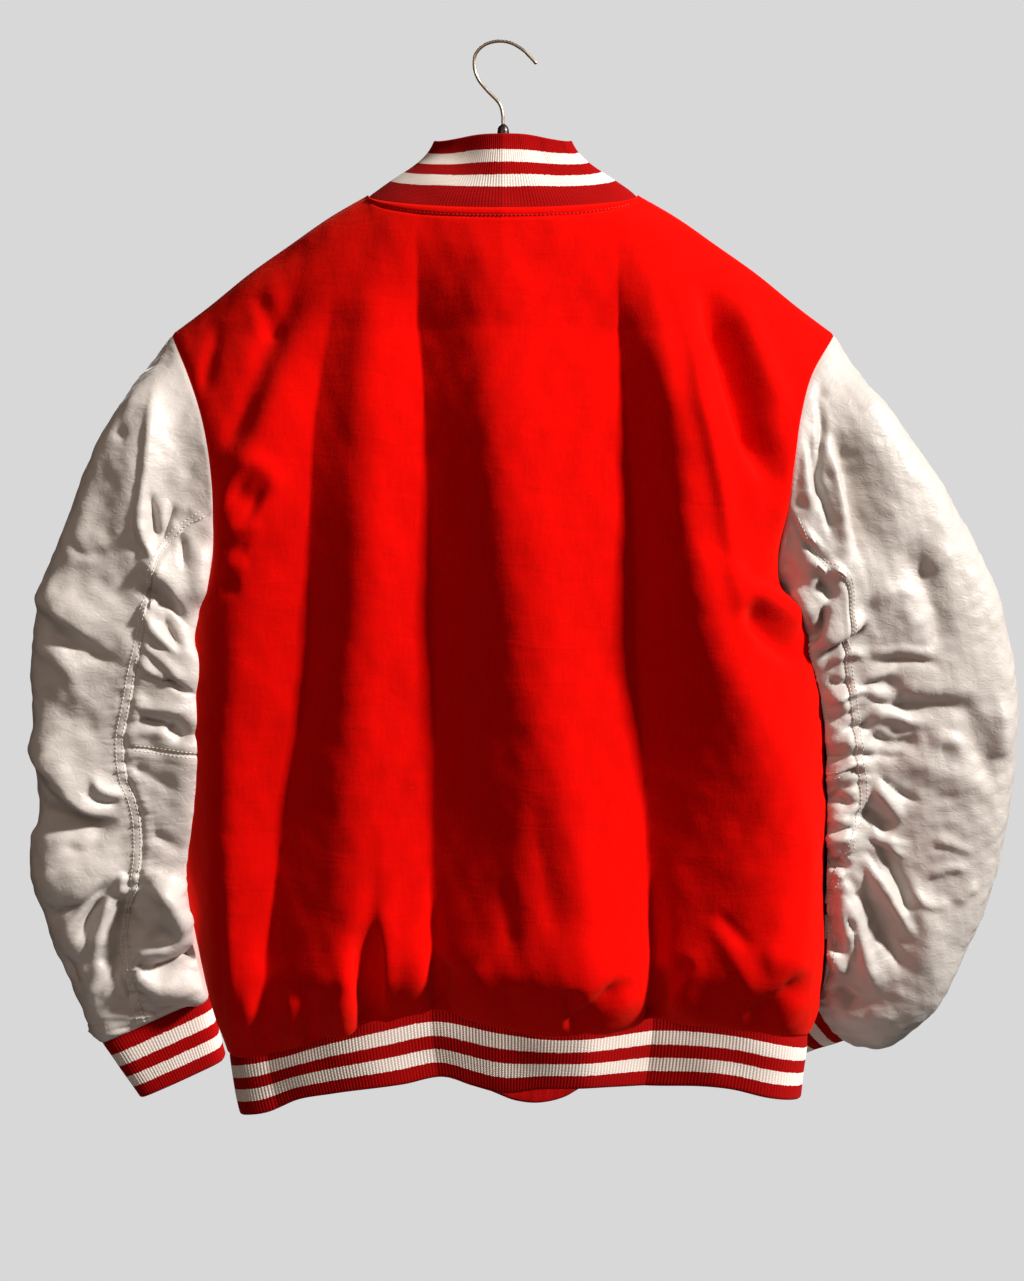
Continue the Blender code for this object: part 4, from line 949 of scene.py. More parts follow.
def ringPoints(turn, hand):
    # The point of each ring at that turn. After the armhole, rings are superellipses on tilted axes: the
    # outer edge is at cos, the back at sin, both over (|cos|^p + |sin|^p)^(1/p).
    rows, power = sleeveRings[hand], sleeve["power"][hand]
    rings = [armholePoint(turn, hand)]
    angle = 2 * math.pi * turn[..., None]
    round1, round2 = np.cos(angle), np.sin(angle)
    full = (np.abs(round1) ** power + np.abs(round2) ** power) ** (1 / power)
    round1, round2 = round1 / full, round2 / full
    for i, lean in enumerate(sleeveLeans[hand]):
        outer, inner = (np.array([hand * rows[key + "X"][i], 0, -rows[key + "Drop"][i]])
                        for key in ("outer", "inner"))
        middle, reach = (outer + inner) / 2 + [0, rows["middleY"][i], 0], (outer - inner) / 2
        down = unit(np.array([hand * reach[2], 0, -hand * reach[0]]))
        reach = reach + [0, sleeve["swing"][hand], 0]
        towards = math.cos(lean) * np.array([0, 1, 0]) + math.sin(lean) * down
        rings.append(middle + round1 * reach + round2 * (rows["depth"][i] / 2 * sleeve["flatness"] * towards))
    return np.array(rings)


def clearOfBody(tube, down, hand):  # sideways, out of the body's own section
    drop, y = -tube[..., 2], tube[..., 1]
    seamDrop = hemSeam[1]["drop"][-1 if hand > 0 else 0]
    rise = (seamDrop - drop) / (seamDrop - shoulder["drop"][-1])
    edge = np.where(y > 0, armholeDepth(rise, 1), armholeDepth(rise, -1))
    full = np.where(y > 0, *(smoothCurve(drop, bodyLevels["drop"], bodyLevels[key])
                             for key in ("back", "front")))
    section = np.clip((np.abs(y) - edge) / (full - edge), 0, 1)
    reach = halfWidth(drop, np.full(drop.shape, hand)) * (1 - section ** body["power"]) ** (1 / body["power"])
    room = sleeve["clearance"] * easeIn(down / sleeve["clearanceStart"] + 0.15)
    cleared = tube.copy()
    cleared[..., 0] = hand * np.where(down > 0, np.maximum(hand * tube[..., 0], reach + room),
                                      hand * tube[..., 0])
    return cleared


def fadedEnds(down, ends):  # 0 at the armhole and at the cuff seam, 1 between
    return easeIn(down / ends[0]) * easeIn((1 - down) / ends[1])


def sleeveTube(turn, down, hand):
    # A smooth curve through the rings at each turn, and broad folds as relief exp(-(down/reach)^2 -
    # (round/reach)^2).
    coarse = ringPoints(np.arange(20) / 20, hand)
    steps = np.linalg.norm(np.diff(coarse, axis=0), axis=2).mean(axis=1)
    knots = np.concatenate([[0], steps.cumsum()]) / steps.sum()
    weights = smoothCurve(down[:, 0], knots, np.eye(len(knots)))
    tube = np.einsum("rk,krcx->rcx", weights, ringPoints(turn, hand))
    relief = np.zeros(turn.shape)
    for foldDown, foldRound, length, reach, height in broadFolds[hand]:
        gap = np.abs(turn % 1 - foldRound)
        gap = np.minimum(gap, 1 - gap) / reach
        relief += height * mm * np.exp(-(((down - foldDown) / length) ** 2) - gap ** 2)
    return tube + gridNormals(tube, True) * (relief * fadedEnds(down, sleeve["foldEnds"]))[..., None]


leftCreases = sighted(35, (
    (6, 24, -0.35, (162, 366), (153, 420), (147, 465), (143, 510), (142, 560), (139, 605)),
    (4, 6, 0.6, (160, 372), (152, 425), (147, 480), (143, 522), (146, 552)),
    (-3, 15, 0, (138, 390), (122, 435), (112, 480), (104, 525), (96, 566)),
    (-2.5, 6, 0, (118, 428), (124, 436), (132, 438)),
    (-2, 6, 0, (72, 540), (84, 552), (98, 556), (130, 548)),
    (-4, 4, 0, (152, 490), (157, 515), (163, 545)),
    (5, 5, 0.4, (143, 520), (148, 543), (158, 558)),
    (-4, 4, 0, (180, 505), (173, 522), (166, 545)),
    (3, 6, 0, (166, 498), (167, 520), (164, 538)),
    (-2, 3, 0, (180, 532), (190, 524), (203, 518)),
    (-2, 3, 0, (176, 526), (186, 519), (198, 512)),
    (10, 16, 0.7, (142, 556), (160, 568), (178, 586), (194, 616)),
    (5, 9, 0.3, (203, 545), (204, 575), (197, 608)),
    (-4, 5, 0.3, (186, 535), (188, 555), (190, 572)),
    (-8, 7, 0, (146, 586), (162, 597), (177, 612), (190, 634)),
    (5, 4, 0.3, (147, 600), (150, 615), (157, 630), (166, 640), (185, 655)),
    (5, 4, -0.3, (152, 620), (153, 608), (162, 603), (172, 608), (182, 620), (190, 632)),
    (-8, 6, 0, (164, 612), (172, 626), (180, 640), (188, 650)),
    (9, 24, 0, (194, 625), (196, 680), (196, 740), (194, 800), (190, 860)),
    (3, 4, 0.5, (142, 640), (158, 652), (175, 668), (190, 690)),
    (4, 5, 0.6, (140, 655), (152, 668), (168, 675), (188, 672)),
    (-7, 4, 0, (168, 672), (178, 684), (190, 694)),
    (4, 5, 0.5, (136, 700), (152, 706), (170, 708), (188, 712)),
    (-6, 4, 0, (140, 716), (160, 722), (175, 722)),
    (-11, 9, 0, (168, 722), (182, 730), (190, 742)),
    (3, 6, -0.2, (126, 735), (150, 731), (188, 737)),
    (-2.5, 7, 0, (130, 765), (155, 775), (180, 790)),
    (-3, 8, 0, (150, 825), (168, 840), (188, 850)),
    (8, 16, 0.7, (34, 580), (58, 604), (84, 622), (112, 640)),
    (-5, 9, 0, (40, 622), (72, 640), (104, 656), (138, 668)),
    (4, 10, 0.4, (34, 640), (54, 652), (72, 668), (88, 686)),
    (-3, 12, 0, (38, 682), (62, 700), (90, 722), (118, 738)),
    (6, 20, 0, (48, 820), (50, 850), (60, 890)),
    (5, 13, 0, (66, 900), (72, 930), (84, 960)),
    (13, 18, 0.8, (30, 726), (52, 754), (72, 778), (94, 798), (124, 814)),
    (5, 4, 0.5, (46, 772), (70, 790), (95, 806), (126, 818)),
    (4, 4, 0.4, (95, 768), (110, 786), (130, 793)),
    (-4, 4, 0, (90, 780), (105, 796), (126, 803)),
    (-8, 13, 0, (34, 802), (66, 812), (98, 820), (124, 828)),
    (12, 30, 0.65, (28, 884), (62, 886), (92, 874), (134, 850)),
    (-2.5, 6, 0, (60, 838), (84, 847), (108, 842)),
    (-6, 6, 0, (48, 922), (72, 906), (95, 889), (116, 872)),
    (4, 7, -0.3, (106, 880), (88, 900), (72, 922), (60, 940)),
    (-4, 5, 0, (108, 890), (92, 914), (82, 942)),
    (6, 6, 0.3, (118, 884), (108, 908), (100, 938), (90, 966)),
    (5, 7, 0, (104, 955), (95, 977), (84, 1004)),
    (-5, 6, 0, (60, 952), (72, 968), (78, 990)),
    (-8, 11, 0, (126, 892), (126, 925), (120, 955), (112, 985)),
    (-4, 6, 0, (132, 975), (130, 992), (122, 1006)),
    (2.5, 3, 0, (118, 970), (122, 990), (130, 1005)),
    (12, 11, 0.3, (124, 862), (150, 876), (168, 893), (180, 914), (178, 936), (164, 948), (146, 952),
     (128, 956)),
    (6, 5, 0, (172, 946), (150, 948), (136, 956), (133, 968), (142, 978), (160, 980)),
    (12, 12, 0, (126, 974), (148, 984), (172, 987), (194, 996), (212, 1008)),
    (-9, 8, 0, (186, 888), (190, 900), (190, 915)),
    (-8, 9, 0, (126, 890), (130, 915), (140, 940)),
    (9, 13, 0, (156, 876), (168, 902), (168, 936)),
    (-10, 8, 0, (144, 966), (160, 967), (178, 962), (200, 954)),
    (-9, 7, 0, (190, 940), (192, 955), (188, 968)),
    (6, 6, 0, (128, 868), (122, 880), (124, 895)),
    (3, 3, 0, (132, 868), (138, 880), (136, 896)),
))
rightCreases = sighted(35, (
    (-9, 14, 0.7, (831, 420), (844, 465), (852, 515), (855, 570)),
    (-4, 22, 0, (850, 430), (866, 480), (870, 520), (866, 570)),
    (5, 8, -0.2, (822, 440), (835, 485), (844, 530), (848, 565)),
    (-4, 4, 0, (814, 392), (819, 430), (814, 478), (824, 515), (829, 542)),
    (-4, 4, 0, (806, 430), (809, 478), (817, 520)),
    (4, 6, 0, (799, 440), (802, 480), (812, 520)),
    (-3, 9, 0, (813, 375), (815, 390), (818, 405)),
    (5, 4, 0, (794, 517), (810, 544), (830, 566), (848, 585)),
    (5, 4, 0.3, (800, 566), (822, 569), (846, 582)),
    (-7, 5, 0, (800, 540), (818, 556), (836, 574)),
    (-9, 6, 0, (812, 580), (822, 590), (832, 603)),
    (7, 6, 0, (782, 525), (778, 555), (780, 598)),
    (7, 6, 0, (790, 585), (803, 603), (812, 626)),
    (-11, 5, 0, (822, 605), (815, 625), (808, 645)),
    (8, 8, -0.6, (864, 616), (840, 632), (812, 648)),
    (-7, 4, 0, (867, 621), (845, 640), (815, 660)),
    (5, 22, 0, (866, 606), (900, 606), (925, 650)),
    (3, 6, -0.5, (862, 612), (878, 594), (900, 590), (922, 602)),
    (-6, 15, 0, (898, 534), (914, 564), (928, 595), (938, 630), (940, 664)),
    (4, 9, 0, (925, 572), (940, 560), (954, 553)),
    (10, 18, 0, (836, 640), (840, 720), (842, 800), (842, 880), (842, 960), (846, 1010)),
    (5, 5, 0.3, (826, 664), (845, 652), (868, 658)),
    (5, 5, 0.3, (824, 706), (842, 696), (866, 690), (892, 704)),
    (4, 4, 0.4, (852, 682), (872, 676), (897, 669)),
    (-4, 8, 0, (850, 686), (876, 684), (902, 682)),
    (5, 16, 0.5, (890, 684), (930, 690), (985, 694)),
    (-5, 11, 0, (886, 700), (920, 704), (958, 706), (985, 712)),
    (5, 7, 0, (866, 712), (892, 716), (926, 728)),
    (-5, 12, 0, (962, 706), (976, 735), (988, 765), (1000, 792)),
    (4, 9, 0, (1000, 700), (1006, 730), (1004, 765)),
    (4, 9, 0, (925, 738), (950, 742), (968, 754)),
    (-5, 8, 0, (860, 740), (892, 740), (925, 742)),
    (4, 16, 0, (876, 764), (915, 764), (955, 780), (1005, 792)),
    (8, 7, 0.2, (824, 786), (838, 772), (856, 764), (876, 770)),
    (-8, 6, 0, (822, 802), (838, 798), (856, 806)),
    (6, 6, 0.3, (842, 745), (858, 742), (880, 752)),
    (-6, 6, 0, (838, 728), (856, 724), (872, 726)),
    (6, 6, 0.5, (872, 783), (888, 800), (905, 824)),
    (-8, 8, 0, (860, 800), (878, 822), (896, 834)),
    (5, 4, 0.4, (866, 832), (888, 846), (910, 861)),
    (9, 8, 0.2, (822, 846), (840, 836), (860, 846)),
    (-7, 6, 0, (826, 864), (838, 862), (850, 872)),
    (-6, 7, 0, (872, 826), (888, 858), (902, 890), (915, 918)),
    (9, 6, 0, (862, 852), (880, 880), (892, 900), (904, 920), (920, 948)),
    (-6, 8, 0, (858, 878), (874, 905), (886, 930), (900, 962), (925, 975)),
    (8, 9, 0, (836, 880), (852, 915), (862, 945), (872, 975), (888, 1004)),
    (7, 6, 0, (824, 950), (838, 958), (848, 978)),
    (-6, 5, 0, (828, 915), (836, 935), (846, 960)),
    (-6, 5, 0, (840, 985), (852, 1000), (866, 1010)),
    (6, 12, 0, (826, 990), (860, 1020), (905, 1018)),
    (5, 14, 0, (905, 880), (930, 930), (925, 985)),
    (2.5, 4, 0, (864, 655), (900, 650), (940, 655)),
    (-3, 4, 0, (866, 664), (902, 660), (945, 664)),
    (-3, 4, 0, (866, 700), (890, 705), (915, 708)),
    (3, 4, 0, (870, 727), (895, 737), (915, 734)),
    (-3, 4, 0, (868, 750), (890, 757), (905, 752)),
    (-3, 4, 0, (872, 770), (895, 790), (925, 806)),
    (3, 4, 0, (868, 812), (885, 838), (915, 848)),
    (-3.5, 4, 0, (866, 845), (876, 866), (884, 880)),
    (3, 4, 0, (822, 690), (840, 700), (850, 712)),
    (-4, 4, 0, (822, 676), (838, 684), (852, 680)),
    (-4, 4, 0, (822, 716), (838, 718), (852, 706)),
    (3, 4, 0, (824, 736), (840, 740), (852, 735)),
    (-4, 4, 0, (824, 752), (838, 756), (848, 750)),
    (-4, 4, 0, (828, 796), (840, 790), (852, 782)),
    (4, 4, 0, (828, 815), (840, 820), (852, 815)),
    (-4, 4, 0, (828, 832), (842, 828), (852, 826)),
    (4, 4, 0, (834, 870), (846, 880), (852, 900)),
    (-4, 4, 0, (842, 872), (852, 885), (858, 905)),
    (3.5, 4, 0, (838, 900), (846, 925), (852, 950)),
    (-4, 4, 0, (845, 905), (855, 935), (863, 970)),
    (-4, 4, 0, (828, 880), (834, 900), (838, 930)),
    (2.5, 5, 0.3, (930, 841), (955, 846), (980, 856)),
    (2.5, 5, 0.2, (925, 880), (950, 870), (975, 872)),
    (3, 6, 0.4, (905, 880), (930, 905), (955, 905)),
    (3, 6, 0.3, (958, 908), (970, 895), (984, 890)),
))


def shifted(creases, drop, share):  # the same list, lower down and softer, for the side that doesn't show
    return [(relief * share, width, steep, *[(x, y + drop) for x, y in line])
            for relief, width, steep, *line in creases]


def sleeveGrid(hand, creases):
    # The outer grid from the cuff seam up: the tube, its creases, and then along the normals a swell, a
    # crumple, gathers near the seams, seams pressed in between their allowances, and leather that blouses
    # over the cuff.
    look = sleeve
    down = np.concatenate([np.linspace(1, look["elbow"], look["rowsLow"] + 1)[:-1],
                           np.linspace(look["elbow"], 0, look["rowsHigh"] + 1)])
    back = smoothCurve(down, np.array(backSeam[hand][0], float), np.array(backSeam[hand][1]))[:, None]
    under = back + (look["frontSeam"] - back) * np.linspace(0, 1, look["underSpans"] + 1)
    upper = (look["frontSeam"] + (1 + back - look["frontSeam"])
             * np.linspace(0, 1, look["upperSpans"] + 1)[1:-1])
    turn = np.concatenate([under, upper], axis=1)
    if hand < 0:
        turn = np.roll(turn[:, ::-1], 1, axis=1)
    down = np.broadcast_to(down[:, None], turn.shape)
    plain = sleeveTube(turn, down, hand)
    fade = fadedEnds(down, look["creaseEnds"])
    tube = addCreases(plain, True, creases, 1, fade)
    tube = addCreases(tube, True, shifted(creases, look["frontDrop"], look["frontShare"]), -1, fade)
    normals = gridNormals(tube, True)
    steps = np.linalg.norm(np.roll(tube, -1, axis=1) - tube, axis=-1)
    arc = np.pad(steps.cumsum(axis=1), ((0, 0), (1, 0)))
    whole, arc = arc[:, -1:], arc[:, :-1]
    frontColumn = look["underSpans"] if hand > 0 else look["upperSpans"]
    toBack = np.minimum(arc, whole - arc)
    toFront = arc - arc[:, frontColumn:frontColumn + 1]
    onUnder = hand * toFront <= 0
    toFront = np.abs(toFront)
    length = np.pad(np.linalg.norm(np.diff(plain, axis=0), axis=-1).cumsum(axis=0), ((1, 0), (0, 0)))
    toCuff, toArmhole = length, length[-1:] - length
    toElbow = np.abs(length - length[look["rowsLow"]])
    swell, crumple = ripples(tube, look["swellSize"], 50 + hand), ripples(tube, look["crumpleSize"], 60 + hand)
    height = swell * look["swell"] + crumple * look["crumple"]
    wide = tube * [0.25, 0.25, 1.0]
    gathers = ripples(wide, look["gathers"][0], 70 + hand) + 0.6 * ripples(wide, look["gathers"][1], 80 + hand)
    low = easeIn((down - look["puckerStart"]) / look["puckerBlend"])
    near = np.exp(-((toBack / look["puckerReach"]) ** 2)) * low
    near = near + 0.6 * np.exp(-((toFront / look["puckerReach"]) ** 2)) * low
    near = near + 0.9 * np.exp(-((toCuff / look["cuffPucker"]) ** 2))
    height = height + look["pucker"] * gathers * near * fade
    height = height * fade
    seam = np.minimum(toBack, toFront)
    seam = np.where(onUnder, np.minimum(seam, toElbow), seam)
    height = height - look["seamDip"] * np.exp(-((seam / look["seamWidth"]) ** 2)) * fade
    allowance = easeIn(seam / (2 * mm)) - easeIn((seam - look["allowance"]) / (2.5 * mm))
    height = height + look["allowanceRise"] * allowance * fade
    height = height + look["armholeRise"] * (1 - np.exp(-((toArmhole / look["armholeWidth"]) ** 2)))
    blouse = toCuff / look["blouseAt"] * np.exp(1 - toCuff / look["blouseAt"])
    height = height + look["blouseOut"] * blouse * (1 + 0.3 * gathers)
    made = clearOfBody(tube + normals * height[..., None], down, hand)
    # The relief attribute places the leather's painted shade: low where the cloth is pushed in, 0.5 where it
    # is plain.
    relief = 0.5 + ((made - plain) * gridNormals(plain, True)).sum(axis=-1) / look["hollowDepth"]
    return made, relief, frontColumn, (arc, whole, length)


sleeveGrids = {}
cuff = dict(rows=20, height=58 * mm, taper={1: 0.21, -1: 0.16}, seamPoints=800)
for hand, name, creases in ((1, "left", leftCreases), (-1, "right", rightCreases)):
    tube, relief, frontColumn, gaps = sleeveGrid(hand, creases)
    sleeveGrids[hand] = tube, frontColumn, gaps
    wrapped, wrappedRelief = (np.concatenate([a, a[:, :1]], axis=1) for a in (tube, relief))
    elbowRow = sleeve["rowsLow"]
    first, second = slice(None, frontColumn + 1), slice(frontColumn, None)
    under, upper = (first, second) if hand > 0 else (second, first)
    for part, rows, columns in (("Upper", slice(None), upper), ("UnderTop", slice(elbowRow, None), under),
                                ("UnderLow", slice(None, elbowRow + 1), under)):
        piece = clothWall(name + "Sleeve" + part, wrapped[rows, columns], sleeve["thickness"], False, leather,
                          None,
                          wrappedRelief[rows, columns])
        node = {"Upper": "upper", "UnderTop": "under_top", "UnderLow": "under_low"}[part]
        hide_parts(f"sleeve_{name}_{node}")
    turns = np.repeat((np.arange(cuff["seamPoints"]) / cuff["seamPoints"])[None, :], 3, axis=0)
    # Three rings, so that the last one has a normal
    down = np.array([[0.98], [0.99], [1.0]]) * np.ones_like(turns)
    ring = clearOfBody(sleeveTube(turns, down, hand), np.ones_like(turns), hand)[-1]
    quarter = cuff["seamPoints"] // 4
    axis = unit(np.cross(ring[quarter] - ring[3 * quarter], ring[0] - ring[2 * quarter])) * hand
    if hand < 0:
        ring = ring[::-1]
    ring, cuffLength = ribSeam(ring, True)
    t = 1 - ribShares(cuff["rows"])[:, None, None]
    middle = ring.mean(axis=0)
    grid = middle + (ring - middle) * (1 - cuff["taper"][hand] * t) + axis * cuff["height"] * t
    piece = knitBand(name + "Cuff", grid, True, cuffRib, "low", cuff["height"], cuffLength, 41 + hand,
                     ("low",))
    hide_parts("cuff_" + name)
print("sleeves made")


def ringMesh(name, rings, finish, nodes, sharp=50):
    # Rings of points skinned in order, with a flat cap at both ends.
    rows, corners = rings.shape[:2]
    ends = np.stack([np.arange(corners)[::-1], np.arange(corners) + (rows - 1) * corners])
    made = makeMesh(name, rings.reshape(-1, 3), [gridFaces(rows, corners, True)[0], ends], finish, sharp=sharp)
    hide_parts(*nodes)


def turned(profile, corners):  # a profile of (radius, height) turned about Z
    profile = np.array(profile)
    angle = 2 * math.pi * np.arange(corners) / corners
    around = np.stack([np.cos(angle), np.sin(angle), 0 * angle], axis=1)
    return profile[:, None, :1] * around + profile[:, None, 1:] * [0, 0, 1]


def dressed(grid, closed):  # the points of a grid, each with the way out of the cloth there
    return np.concatenate([grid, gridNormals(grid, closed)], axis=-1)


# Snaps down the middle of the placket. The profile is (share of the radius, share of the rise).
snap = dict(
    radius=8.0 * mm, rise=3.6 * mm, seat=0.4 * mm, drops=(245, 352, 459, 566, 673, 780), corners=44,
    profile=((0.93, 0.0), (1.0, 0.05), (1.0, 0.28), (0.975, 0.37), (0.90, 0.45), (0.885, 0.52), (0.83, 0.68),
             (0.72, 0.82), (0.56, 0.92), (0.36, 0.98), (0.14, 1.0)))
snapFinish = metalMaterial("snapSteel", (0.62, 0.61, 0.60), 0.24, (0.44, 0.43, 0.41))
snapCap = turned([(snap["radius"] * reach, snap["rise"] * lift + snap["seat"])
                  for reach, lift in snap["profile"]],
                 snap["corners"])
placketAt = lineAt(dressed(fronts[1], False), fronts[1][..., 0], 0.0)[::-1]
for number, drop in enumerate(snap["drops"], 1):
    place = np.array([np.interp(drop * mm, -placketAt[:, 2], placketAt[:, i]) for i in range(6)])
    out = unit(place[3:])
    side = unit(np.cross([0, 0, 1], out))
    rings = place[:3] + snapCap @ np.stack([side, np.cross(out, side), out])
    ringMesh(f"snapCap{number}", rings, snapFinish, [f"snap_{number}"], 40)

# The hook's wire: a smooth curve through the line, swept by circles.
hook = dict(
    radius=1.4 * mm, samples=190, corners=18,
    line=table("x drop", (0, 69), (0.5, 60), (3.5, 51), (13, 41), (21, 31), (24.3, 21), (23.5, 10), (17, 2.5),
               (9, -0.8), (0, -1.4), (-8, 0.6), (-17, 6), (-25, 14), (-28.5, 18)))
knots = np.linspace(0, 1, len(hook["line"]["x"]))
at = 0.5 - 0.5 * np.cos(math.pi * np.linspace(0, 1, hook["samples"]))
x, drop = (smoothCurve(at, knots, hook["line"][key]) for key in ("x", "drop"))
path = np.stack([x, 0 * x, -drop], axis=1)
along = unit(np.gradient(path, axis=0))
side = np.cross(along, [0, 1, 0])
toEnd = np.linalg.norm(path - path[-1], axis=1)
angle = 2 * math.pi * np.arange(hook["corners"]) / hook["corners"]
size = hook["radius"] * np.sqrt(1 - np.clip(1 - toEnd / hook["radius"], 0, 0.97) ** 2)  # a rounded tip
circle = np.cos(angle)[:, None] * [0, 1, 0] + np.sin(angle)[:, None] * side[:, None]
rings = path[:, None] + size[:, None, None] * circle
hookFinish = metalMaterial("hookWire", (0.50, 0.43, 0.35), 0.34, (0.36, 0.28, 0.20))
ringMesh("hangerHook", rings, hookFinish, ["hanger_hook"])

# The ferrule's profile is (share of the radius, drop).
ferrule = dict(
    radius=5.2 * mm, corners=48,
    profile=((0.94, 98.7), (1.0, 98.2), (1.0, 91.2), (0.955, 90.7), (0.955, 89.8), (1.0, 89.3), (1.0, 75.8),
             (0.97, 74.4), (0.90, 72.9), (0.78, 71.4), (0.60, 70.2), (0.45, 69.3)))
rings = turned([(ferrule["radius"] * reach, -low * mm) for reach, low in ferrule["profile"]],
               ferrule["corners"])
capFinish, tree, shader = newMaterial("ferruleCap", (0.018, 0.013, 0.012), 0.36, specular=0.5, coat=0.2)
tree.links.new(ramp(tree, noise(tree, 500.0, 4.0), (0.35, 0.28), (0.70, 0.48)), shader.inputs["Roughness"])
bumpInto(tree, shader, (noise(tree, 900.0, 3.0, 0.6, mapped(tree, (1, 1, 3))), 0.12, 0.1 * mm))
ringMesh("hangerFerrule", rings, capFinish, ["hanger_ferrule"])

# The bar follows the shoulders at a seat below them, level in the middle, and its sections are ellipses.
bar = dict(tip=222 * mm, seat=5.1 * mm, halfThickness=6.5 * mm, middle=26 * mm, end=13 * mm, level=12 * mm,
           bend=95 * mm, top=99 * mm, spans=120, corners=28)
x = bar["tip"] * np.sin(np.linspace(-math.pi / 2, math.pi / 2, bar["spans"] + 1))
bent = easeIn((np.abs(x) - bar["level"]) / bar["bend"])
top = bar["top"] * (1 - bent) + (smoothCurve(np.abs(x), shoulder["x"], shoulder["drop"]) + bar["seat"]) * bent
tall = bar["middle"] + (bar["end"] - bar["middle"]) * np.abs(x) / bar["tip"]
tip = np.sqrt(np.maximum(0, 1 - (np.abs(x) / (bar["tip"] + 4 * mm)) ** 40))
angle = 2 * math.pi * np.arange(bar["corners"]) / bar["corners"]
rings = np.stack(np.broadcast_arrays(
    x[:, None], bar["halfThickness"] * tip[:, None] * np.sin(angle),
    (-top - tall / 2)[:, None] + (tall / 2 * tip)[:, None] * np.cos(angle)), axis=-1)
ringMesh("hangerBar", rings[:, ::-1], woodMaterial(), ["hanger_bar"])
print("trims made")


# Each stitch is a short thread that dips into the cloth at both ends. Rows are given by their distance from a
# seam, and the neck's and the shoulders' also by shares across.
stitch = dict(pitch=3.5 * mm, length=2.7 * mm, radius=0.36 * mm, corners=5, rings=(0, 0.18, 0.5, 0.82, 1.0),
              backSeam=(1.9 * mm, 7.4 * mm), frontSeam=1.9 * mm, elbow=(-2.2 * mm, 2.2 * mm), neckTo=0.39,
              shoulder=(0.43, 0.992))


def stitchRow(name, cloth, gaps, distance, finish, keep=slice(None)):
    # The row runs where gaps, which grow along each row of the grid, reach the distance. A stitch is five
    # rings whose height over the cloth is r (0.75 - 1.9 |2t - 1|^3), with t along the stitch, and whose
    # radius shrinks likewise.
    line = lineAt(cloth, gaps, distance)[keep]
    travel = np.concatenate([[0], np.linalg.norm(np.diff(line[:, :3], axis=0), axis=1).cumsum()])
    count = int((travel[-1] - stitch["length"]) / stitch["pitch"])
    t = np.array(stitch["rings"])
    at = (np.arange(count)[:, None] + 0.3) * stitch["pitch"] + t * stitch["length"]
    spots = np.stack([np.interp(at, travel, line[:, i]) for i in range(6)], axis=-1)
    up = unit(spots[..., 3:])
    side = unit(np.cross(np.gradient(spots[..., :3], axis=1), up))
    bow = np.abs(2 * t - 1) ** 3
    middle = spots[..., :3] + up * (stitch["radius"] * (0.75 - 1.9 * bow))[:, None]
    corners = stitch["corners"]
    angle = (2 * math.pi * np.arange(corners) / corners)[:, None]
    size = (stitch["radius"] * (1 - 0.45 * bow))[:, None, None]
    rings = middle[:, :, None] + size * (np.cos(angle) * side[:, :, None] + np.sin(angle) * up[:, :, None])
    one, _ = gridFaces(len(t), corners, True)
    ends = np.stack([np.arange(corners), np.arange(corners)[::-1] + (len(t) - 1) * corners])
    firsts = np.arange(count)[:, None, None] * len(t) * corners
    faces = [(one[:, ::-1] + firsts).reshape(-1, 4), (ends + firsts).reshape(-1, corners)]
    makeMesh(name, rings.reshape(-1, 3), faces, finish, sharp=None)


for hand, name in ((1, "left"), (-1, "right")):
    tube, frontColumn, (arc, whole, length) = sleeveGrids[hand]
    cloth, turn = dressed(tube, True), slice(None, None, -1)
    atFront = arc - arc[:, frontColumn:frontColumn + 1]
    if hand > 0:
        fromBack, fromFront = (cloth[:, turn], (whole - arc)[:, turn]), (cloth, atFront)
    else:
        fromBack, fromFront = (cloth, arc), (cloth[:, turn], -atFront[:, turn])
    for number, distance in enumerate(stitch["backSeam"], 1):
        stitchRow(f"{name}SleeveBackStitch{number}", *fromBack, distance, whiteThread, slice(2, -8))
    stitchRow(f"{name}SleeveFrontStitch", *fromFront, stitch["frontSeam"], whiteThread, slice(2, -8))
    columns = slice(3, frontColumn - 2) if hand > 0 else slice(frontColumn + 3, -2)
    above = (length - length[sleeve["rowsLow"]])[:, columns].T
    for number, distance in enumerate(stitch["elbow"], 1):
        stitchRow(f"{name}SleeveElbowStitch{number}", cloth[:, columns].swapaxes(0, 1), above, distance,
                  whiteThread)
cloth, toTop = dressed(back, False).swapaxes(0, 1), -borderGaps(back)[2].T
across = np.abs(backColumns())
stitchRow("neckStitch", cloth, toTop, -woolSurface["allowance"], redThread, across < stitch["neckTo"])
onShoulder = (across > stitch["shoulder"][0]) & (across < stitch["shoulder"][1])
for name, side in (("left", backColumns() > 0), ("right", backColumns() < 0)):
    stitchRow(name + "ShoulderStitch", cloth, toTop, -woolSurface["shoulderAllowance"], redThread,
              side & onShoulder)
cloth, fromEdge = dressed(fronts[1], False), np.abs(fronts[1][..., 0] - fronts[1][:, :1, 0])
for number, distance in enumerate((placket["stitchFrom"], placket["stitchFrom"] + placket["stitchGap"]), 1):
    stitchRow(f"placketStitch{number}", cloth, fromEdge, distance, redThread, slice(4, -5))
print("stitches made")


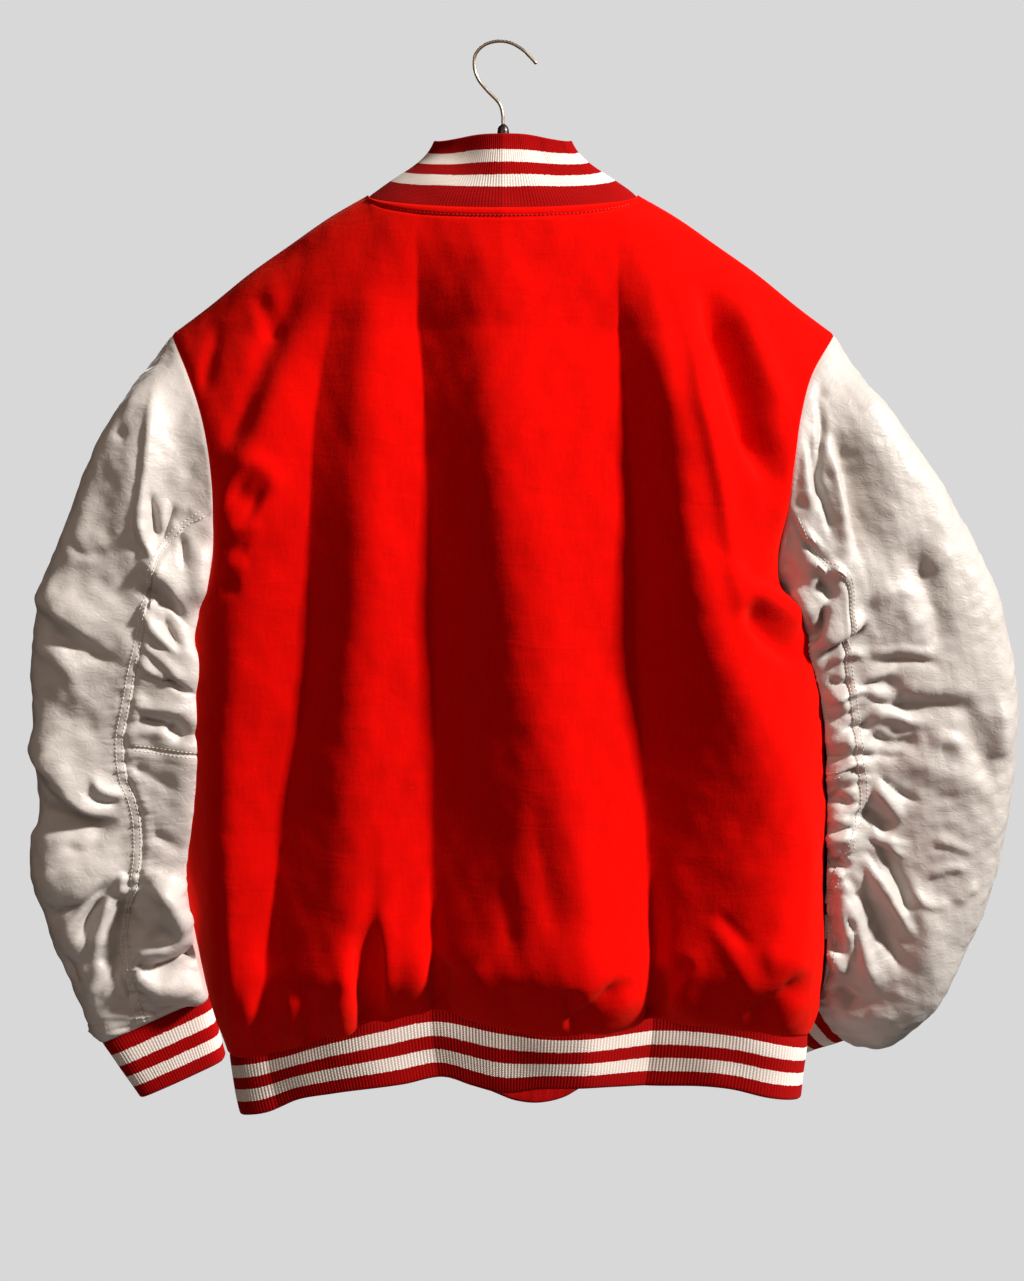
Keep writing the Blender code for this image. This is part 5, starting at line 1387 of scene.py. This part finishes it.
# The camera stands behind the jacket. Each light has its place, its power in watts, its size and its colour.
studio = dict(
    eye=(-7.65 * mm, 2.6, -507.9 * mm), viewAngle=23.65, aim=(0, 0, -0.5), background=(0.687, 0.687, 0.687),
    ambient=(0.045, 0.036, 0.030), floorDrop=2.4, floorColour=(0.55, 0.55, 0.54), floorCorners=96,
    lights={"keyLight": ((-3.87, 1.60, 2.22), 530, 0.5, (1.0, 0.95, 0.90)),
            "sleeveLight": ((-3.87, 1.60, 2.22), 600, 0.5, (1.0, 0.95, 0.90)),
            "fillLight": ((0.9, 3.5, 1.0), 27, 2.4, (1.0, 0.80, 0.64)),
            "sleeveFill": ((0.9, 3.5, 1.0), 19, 2.4, (1.0, 0.80, 0.74)),
            "frontLight": ((0.4, -2.6, 0.9), 60, 1.6, (1.0, 0.97, 0.94))})
camera = bpy.data.objects.new("camera", bpy.data.cameras.new("camera"))
bpy.context.scene.collection.objects.link(camera)
camera.location = studio["eye"]
camera.rotation_euler = (math.radians(90), 0, math.radians(180))
camera.data.sensor_fit = "VERTICAL"
camera.data.angle = math.radians(studio["viewAngle"])
camera.data.clip_start = 0.05
bpy.context.scene.camera = camera


def areaLight(name, place, power, size, colour):  # a square light that faces the jacket's middle
    data = bpy.data.lights.new(name, "AREA")
    data.energy, data.size, data.color = power, size, colour
    made = bpy.data.objects.new(name, data)
    made.location = place
    made.rotation_euler = (Vector(studio["aim"]) - Vector(place)).to_track_quat("-Z", "Y").to_euler()
    bpy.context.scene.collection.objects.link(made)
    return made


def linked(name, starts, state):  # a collection of the pieces whose names start so, to be lit or left out
    group = bpy.data.collections.new(name)
    for piece in bpy.data.objects:
        if piece.name.startswith(starts):
            group.objects.link(piece)
    for member in group.collection_objects:
        member.light_linking.link_state = state
    return group


lights = {name: areaLight(name, *values) for name, values in studio["lights"].items()}
# The left sleeve and the hem lie in the back's own shadow, so they have a key light of their own, which only
# the left sleeve can block.
inShadow, itself = ("leftSleeve", "leftCuff", "hemBand"), ("leftSleeve", "leftCuff")
lights["keyLight"].light_linking.receiver_collection = linked("notByKeyLight", inShadow, "EXCLUDE")
lights["sleeveLight"].light_linking.receiver_collection = linked("bySleeveLight", inShadow, "INCLUDE")
lights["sleeveLight"].light_linking.blocker_collection = linked("blockSleeveLight", itself, "INCLUDE")
bothSleeves = linked("bySleeveFill", ("leftSleeve", "rightSleeve"), "INCLUDE")
lights["sleeveFill"].light_linking.receiver_collection = bothSleeves

world = bpy.data.worlds.new("studio")
world.use_nodes = True
bpy.context.scene.world = world
tree = world.node_tree
seen = tree.nodes["Background"]
seen.inputs["Color"].default_value = (*studio["background"], 1)
ambient = addNode(tree, "ShaderNodeBackground")
ambient.inputs["Color"].default_value = (*studio["ambient"], 1)
path = addNode(tree, "ShaderNodeLightPath")
blend = addNode(tree, "ShaderNodeMixShader")
for source, target in ((path.outputs["Is Camera Ray"], 0), (ambient.outputs[0], 1), (seen.outputs[0], 2)):
    tree.links.new(source, blend.inputs[target])
tree.links.new(blend.outputs[0], tree.nodes["World Output"].inputs["Surface"])
bpy.context.scene.view_settings.view_transform = "Standard"

floorMesh = bpy.data.meshes.new("floor")  # a disc 2 m across
turns = np.linspace(0, 2 * math.pi, studio["floorCorners"] + 1)[:-1]
floorMesh.from_pydata([(math.cos(a), math.sin(a), -studio["floorDrop"]) for a in turns], [],
                      [tuple(range(len(turns)))])
floorMesh.materials.append(newMaterial("paleFloor", studio["floorColour"], 0.9)[0])
floor = bpy.data.objects.new("floor", floorMesh)
bpy.context.scene.collection.objects.link(floor)
